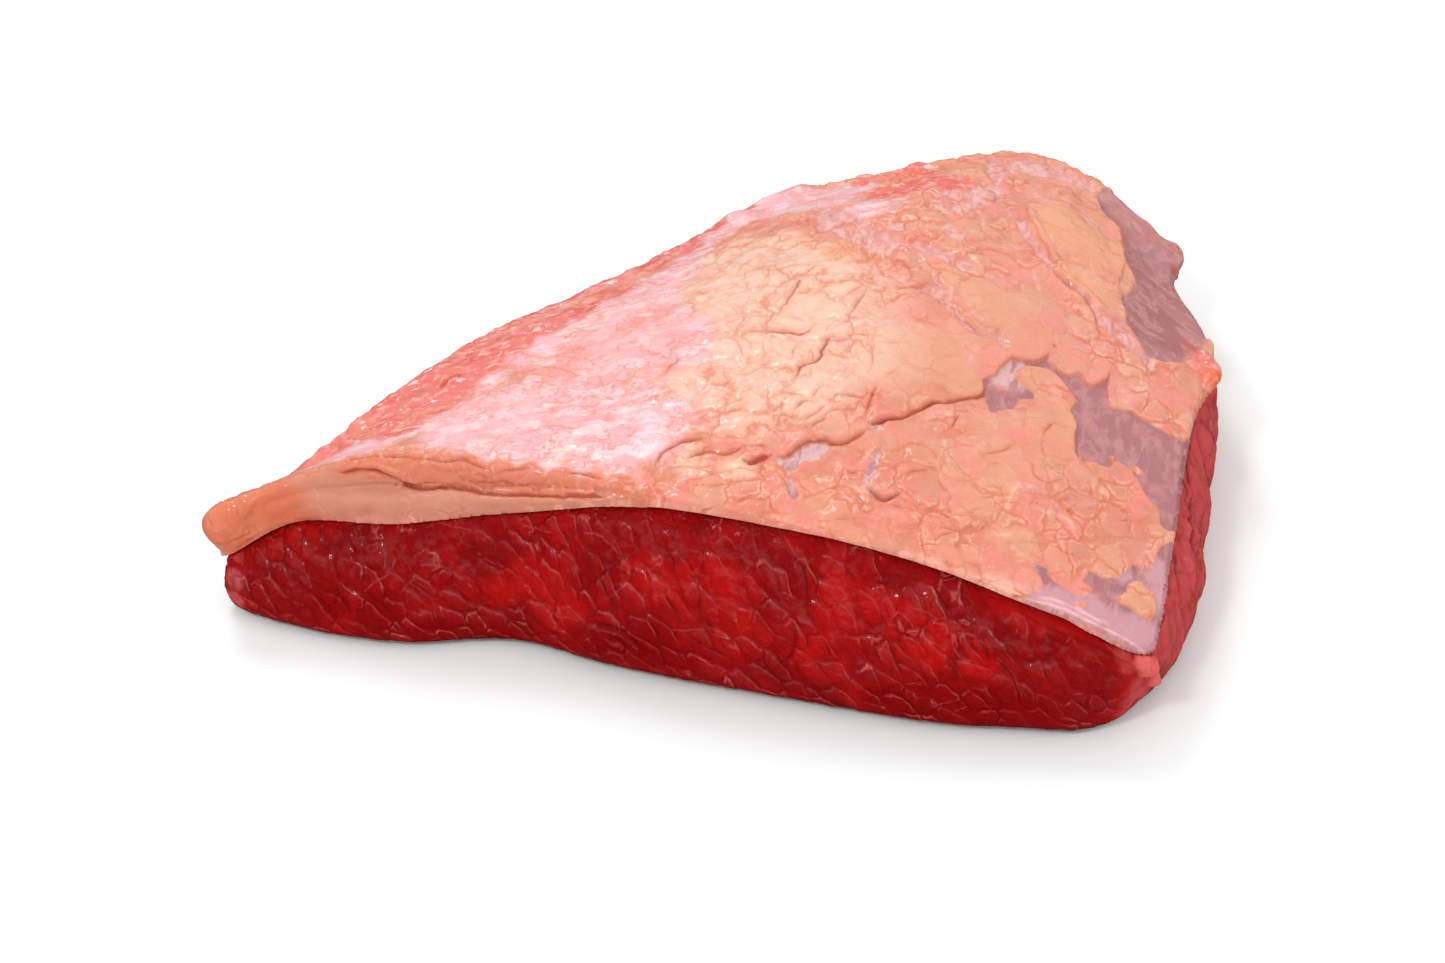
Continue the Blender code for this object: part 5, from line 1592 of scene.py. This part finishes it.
def leanFinish():
    material, g, shader = newMaterial("wetLean")
    rest = attribute(g, "rest", "Vector")
    side, near, depth, ridgeSide, ridgeNear, underFat, level, flank = (
        attribute(g, name)
        for name in ("foldSide", "foldNear", "foldDepth", "ridgeSide", "ridgeNear", "underFat", "level", "flank")
    )
    zone = {name: attribute(g, name) for name in leanZones}
    line, shade = foldLine(g, side, near, depth * lean["lineSpread"] + lean["lineWidth"], lean["shadeWidth"])
    pale, _ = foldLine(g, ridgeSide, ridgeNear, 0.2, 0.6)
    edge, isOpen, fineEdge, tilt = grainPattern(g, rest, lean["grainSize"])
    sideEdge, sideOpen = uprightPattern(g, rest, lean["sideFoldSize"])
    grainLine = g.mix(flank, edge.hill(0.15) * (isOpen * 0.7 + 0.3), sideEdge.hill(0.3) * sideOpen * 0.45)
    grainShade = g.mix(flank, edge.hill(1.0) * isOpen, sideEdge.hill(1.6) * sideOpen * 0.7)
    front, rough = 1 - flank, 1 - zone["smooth"] * 0.8
    mottle = g.noise(rest, lean["mottleSize"], 3.0, 0.6)
    fine = g.noise(rest, lean["fineSize"], 3.0, 0.6)
    cloud, crumb = mottle - 0.5, fine - 0.5  # both swing about zero

    base = patches(g, rest, palette["meat"], "meatBright", 11.0, 0.42, 0.7, 0.4)
    base = paint(g, base, (zone["bright"] + cloud, 0.2, 0.8, 0.75, "meatBright"))
    base = patches(g, rest, base, "meatDark", 15.0, 0.48, 0.68, 0.4)
    pinker = patches(g, rest, palette["meatPink"], "meat", 6.0, 0.5, 0.7, 0.6)
    shadow = (grainShade * 0.2 * rough).most(shade * depth * 0.4).least(0.7)
    base = paint(
        g, base,
        (zone["smooth"] + crumb * 0.3, 0.3, 0.8, 0.6, "meatOrange"),
        # the flanks pinker: partly their own pinker skin, partly painted light on the side that is lit more
        (zone["side"].most(flank * 0.9) + crumb * 0.5, 0.2, 0.8, 0.9, pinker),
        # painted highlight: each grain cell pinker on the side that stands up to the light
        (fine * 0.5 + tilt, 0.2, 0.8, front * 0.1, "meatPink"),
        (zone["corner"] + cloud + crumb, 0.2, 1.1, 0.3, "tag"),
        (zone["tag"] + crumb * 0.8, 0.2, 0.9, 1.0, "tag"),
        (zone["dark"] + cloud, 0.3, 0.9, 0.5, "meatDark"),
    )
    base = g.tint(shadow, base, palette["meatDark"])
    base = paint(g, base, (zone["deep"] + cloud * 0.7, 0.1, 0.8, 0.8, "meatDeep"))

    # creases and the grain's borders darker, partly their own darker red and partly painted shade; the foot darkened
    # towards the table as a painted contact shadow; pale painted glints on the grain's borders
    dark = (line * depth * 0.8).most(grainLine * 0.5 * rough).most(fineEdge.hill(0.16) * front * 0.2 * rough)
    base = paint(g, g.tint(dark.least(0.9), base, palette["crease"]), (level, 4.5, 0.3, 0.6, "crease"))
    glint = g.noise(rest + (0.0, 50.0, 0.0), 4.0).rise(0.58, 0.66).most(isOpen * 0.4 + 0.2)
    edgeGlint = (edge - 0.38).hill(0.12) * glint * tilt.rise(0.0, 0.3) * front * rough
    busy = g.noise(rest, 18.0, 1.0).rise(0.42, 0.58, 0.35, 1.0)
    knots = g.noise(rest, 2.4).rise(0.4, 0.52)
    filmAndGlint = underFat.rise(1.2, 0.3) * mottle.rise(0.4, 0.6)
    # membrane film along the fat's edge, together with painted highlights on the pale ridges and grain borders, in one
    # pale colour
    base = g.tint((pale * knots * 0.2).most(edgeGlint * busy * 0.65).most(filmAndGlint * 0.1), base, palette["filmAndGlint"])

    more = pale * 0.3 - zone["deep"] * 0.3
    wetness, roughness, grain = placeGroup(g, wetGroup, {**lean["wetSkin"], "Where": rest, "More": more})
    cells = (edge.rise(0.0, 0.5) * (isOpen * 0.6 + 0.4) + fineEdge.rise(0.0, 0.45) * 0.5) * front
    height = grain * 0.5 + fine * 0.9 + pale * 0.3 + cells * 0.45 * rough
    bump = g.field("ShaderNodeBump", {**lean["bump"], "Height": height})
    coat = wetness * underFat.rise(1.5, 6.0, 0.15, 1.0)
    fields = {"Base Color": base, "Roughness": roughness, "Normal": bump, "Coat Weight": coat}
    setShader(g, shader, fields, lean["shader"])
    return material


def buildFat():
    material = fatFinish()
    piece = markedCopy(fatNode, "fatCap", fat["voxel"], fatTree, fatZones, fatSwellings)
    values = {
        "Folds": tracedLines("fatFoldLines", fatTree, fatFolds),
        "Ridges": tracedLines("fatRidgeLines", fatTree, fatRidges),
        "Silverskin": tracedPatches("silverskinOutlines", fatTree, silverskin),
        "Thin Fat": tracedPatches("thinFatOutlines", fatTree, thinFat),
        "Islands": tracedPatches("islandOutlines", fatTree, fatIslands),
        "Lean": leanNode,
    }
    applyTree(piece, fatReliefTree(material), values)
    thinHidden(piece, fat["triangles"])
    piece.data.shade_smooth()
    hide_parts("fat_cap")
    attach(piece, "root")
    print("fat cap done")


def buildLean():
    material = leanFinish()
    piece = markedCopy(leanNode, "leanMuscle", lean["voxel"], leanTree, leanZones, leanSwellings)
    values = {
        "Folds": tracedLines("leanFoldLines", leanTree, leanFolds),
        "Ridges": tracedLines("leanRidgeLines", leanTree, leanRidges),
        "Fat": fatNode,
    }
    applyTree(piece, leanReliefTree(material), values)
    thinHidden(piece, lean["triangles"])
    piece.data.shade_smooth()
    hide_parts("lean_muscle")
    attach(piece, "root")
    print("lean muscle done")


# The table, the lights and the sky. Wet meat mirrors a darker table and sky than the camera sees.
studio = {
    "floorSize": 6.0,
    "floorHeight": -0.0002,
    "floorColour": (0.93, 0.98, 0.98),
    "mirroredFloor": (0.10, 0.07, 0.07),
    "floorShader": {"Roughness": 0.9, "Specular IOR Level": 0.1},
    "skyColour": (1, 1, 1),
    "skyStrength": 0.85,
    "mirroredSky": 0.7,
    "aim": (0, 0, 0.02),
    "lights": {  # place, size, watts
        "keyLight": ((-0.65, 0.6, 1.35), 0.5, 6.0),
        "frontLight": ((-0.35, -0.95, 1.2), 0.25, 4.5),
        "sideLight": ((1.2, -0.1, 0.9), 0.6, 2.5),
    },
}


def mirrored(g):
    # 1 on a glossy ray
    return g.field("ShaderNodeLightPath", {}, "Is Glossy Ray")


def addTable():
    mesh = bpy.data.meshes.new("table")
    half = studio["floorSize"] / 2
    mesh.from_pydata([(-half, -half, 0), (half, -half, 0), (half, half, 0), (-half, half, 0)], [], [(0, 1, 2, 3)])
    table = addObject("table", mesh)
    material, g, shader = newMaterial("paleTable")
    floor = g.tint(mirrored(g), studio["floorColour"], studio["mirroredFloor"])
    setShader(g, shader, {"Base Color": floor}, studio["floorShader"])
    mesh.materials.append(material)
    table.location.z = studio["floorHeight"]


def addLights():
    for name, (place, size, watts) in studio["lights"].items():
        lamp = bpy.data.lights.new(name, "AREA")
        lamp.shape = "DISK"
        lamp.size = size
        lamp.energy = watts
        holder = addObject(name, lamp)
        holder.location = place
        holder.rotation_euler = (Vector(studio["aim"]) - Vector(place)).to_track_quat("-Z", "Y").to_euler()

    world = bpy.data.worlds.new("studio")
    world.use_nodes = True
    g, background = Graph(world.node_tree), world.node_tree.nodes["Background"]
    strength = g.mix(mirrored(g), studio["skyStrength"], studio["mirroredSky"])
    setShader(g, background, {"Strength": strength}, {"Color": colour(studio["skyColour"])})
    bpy.context.scene.world = world
    bpy.context.scene.view_settings.view_transform = "Standard"


def addCamera():
    lens = bpy.data.cameras.new("photoCamera")
    lens.lens = photo["lens"]
    lens.sensor_width = photo["sensor"]
    camera = addObject("photoCamera", lens)
    back, _, _ = cameraAxes()
    camera.location = Vector(photo["target"]) + photo["distance"] * back
    camera.rotation_euler = (-back).to_track_quat("-Z", "Y").to_euler()
    bpy.context.scene.camera = camera


buildFat()
buildLean()
for guide in helpers:
    bpy.data.objects.remove(guide)
addTable()
addLights()
addCamera()
print("table, lights and camera done")
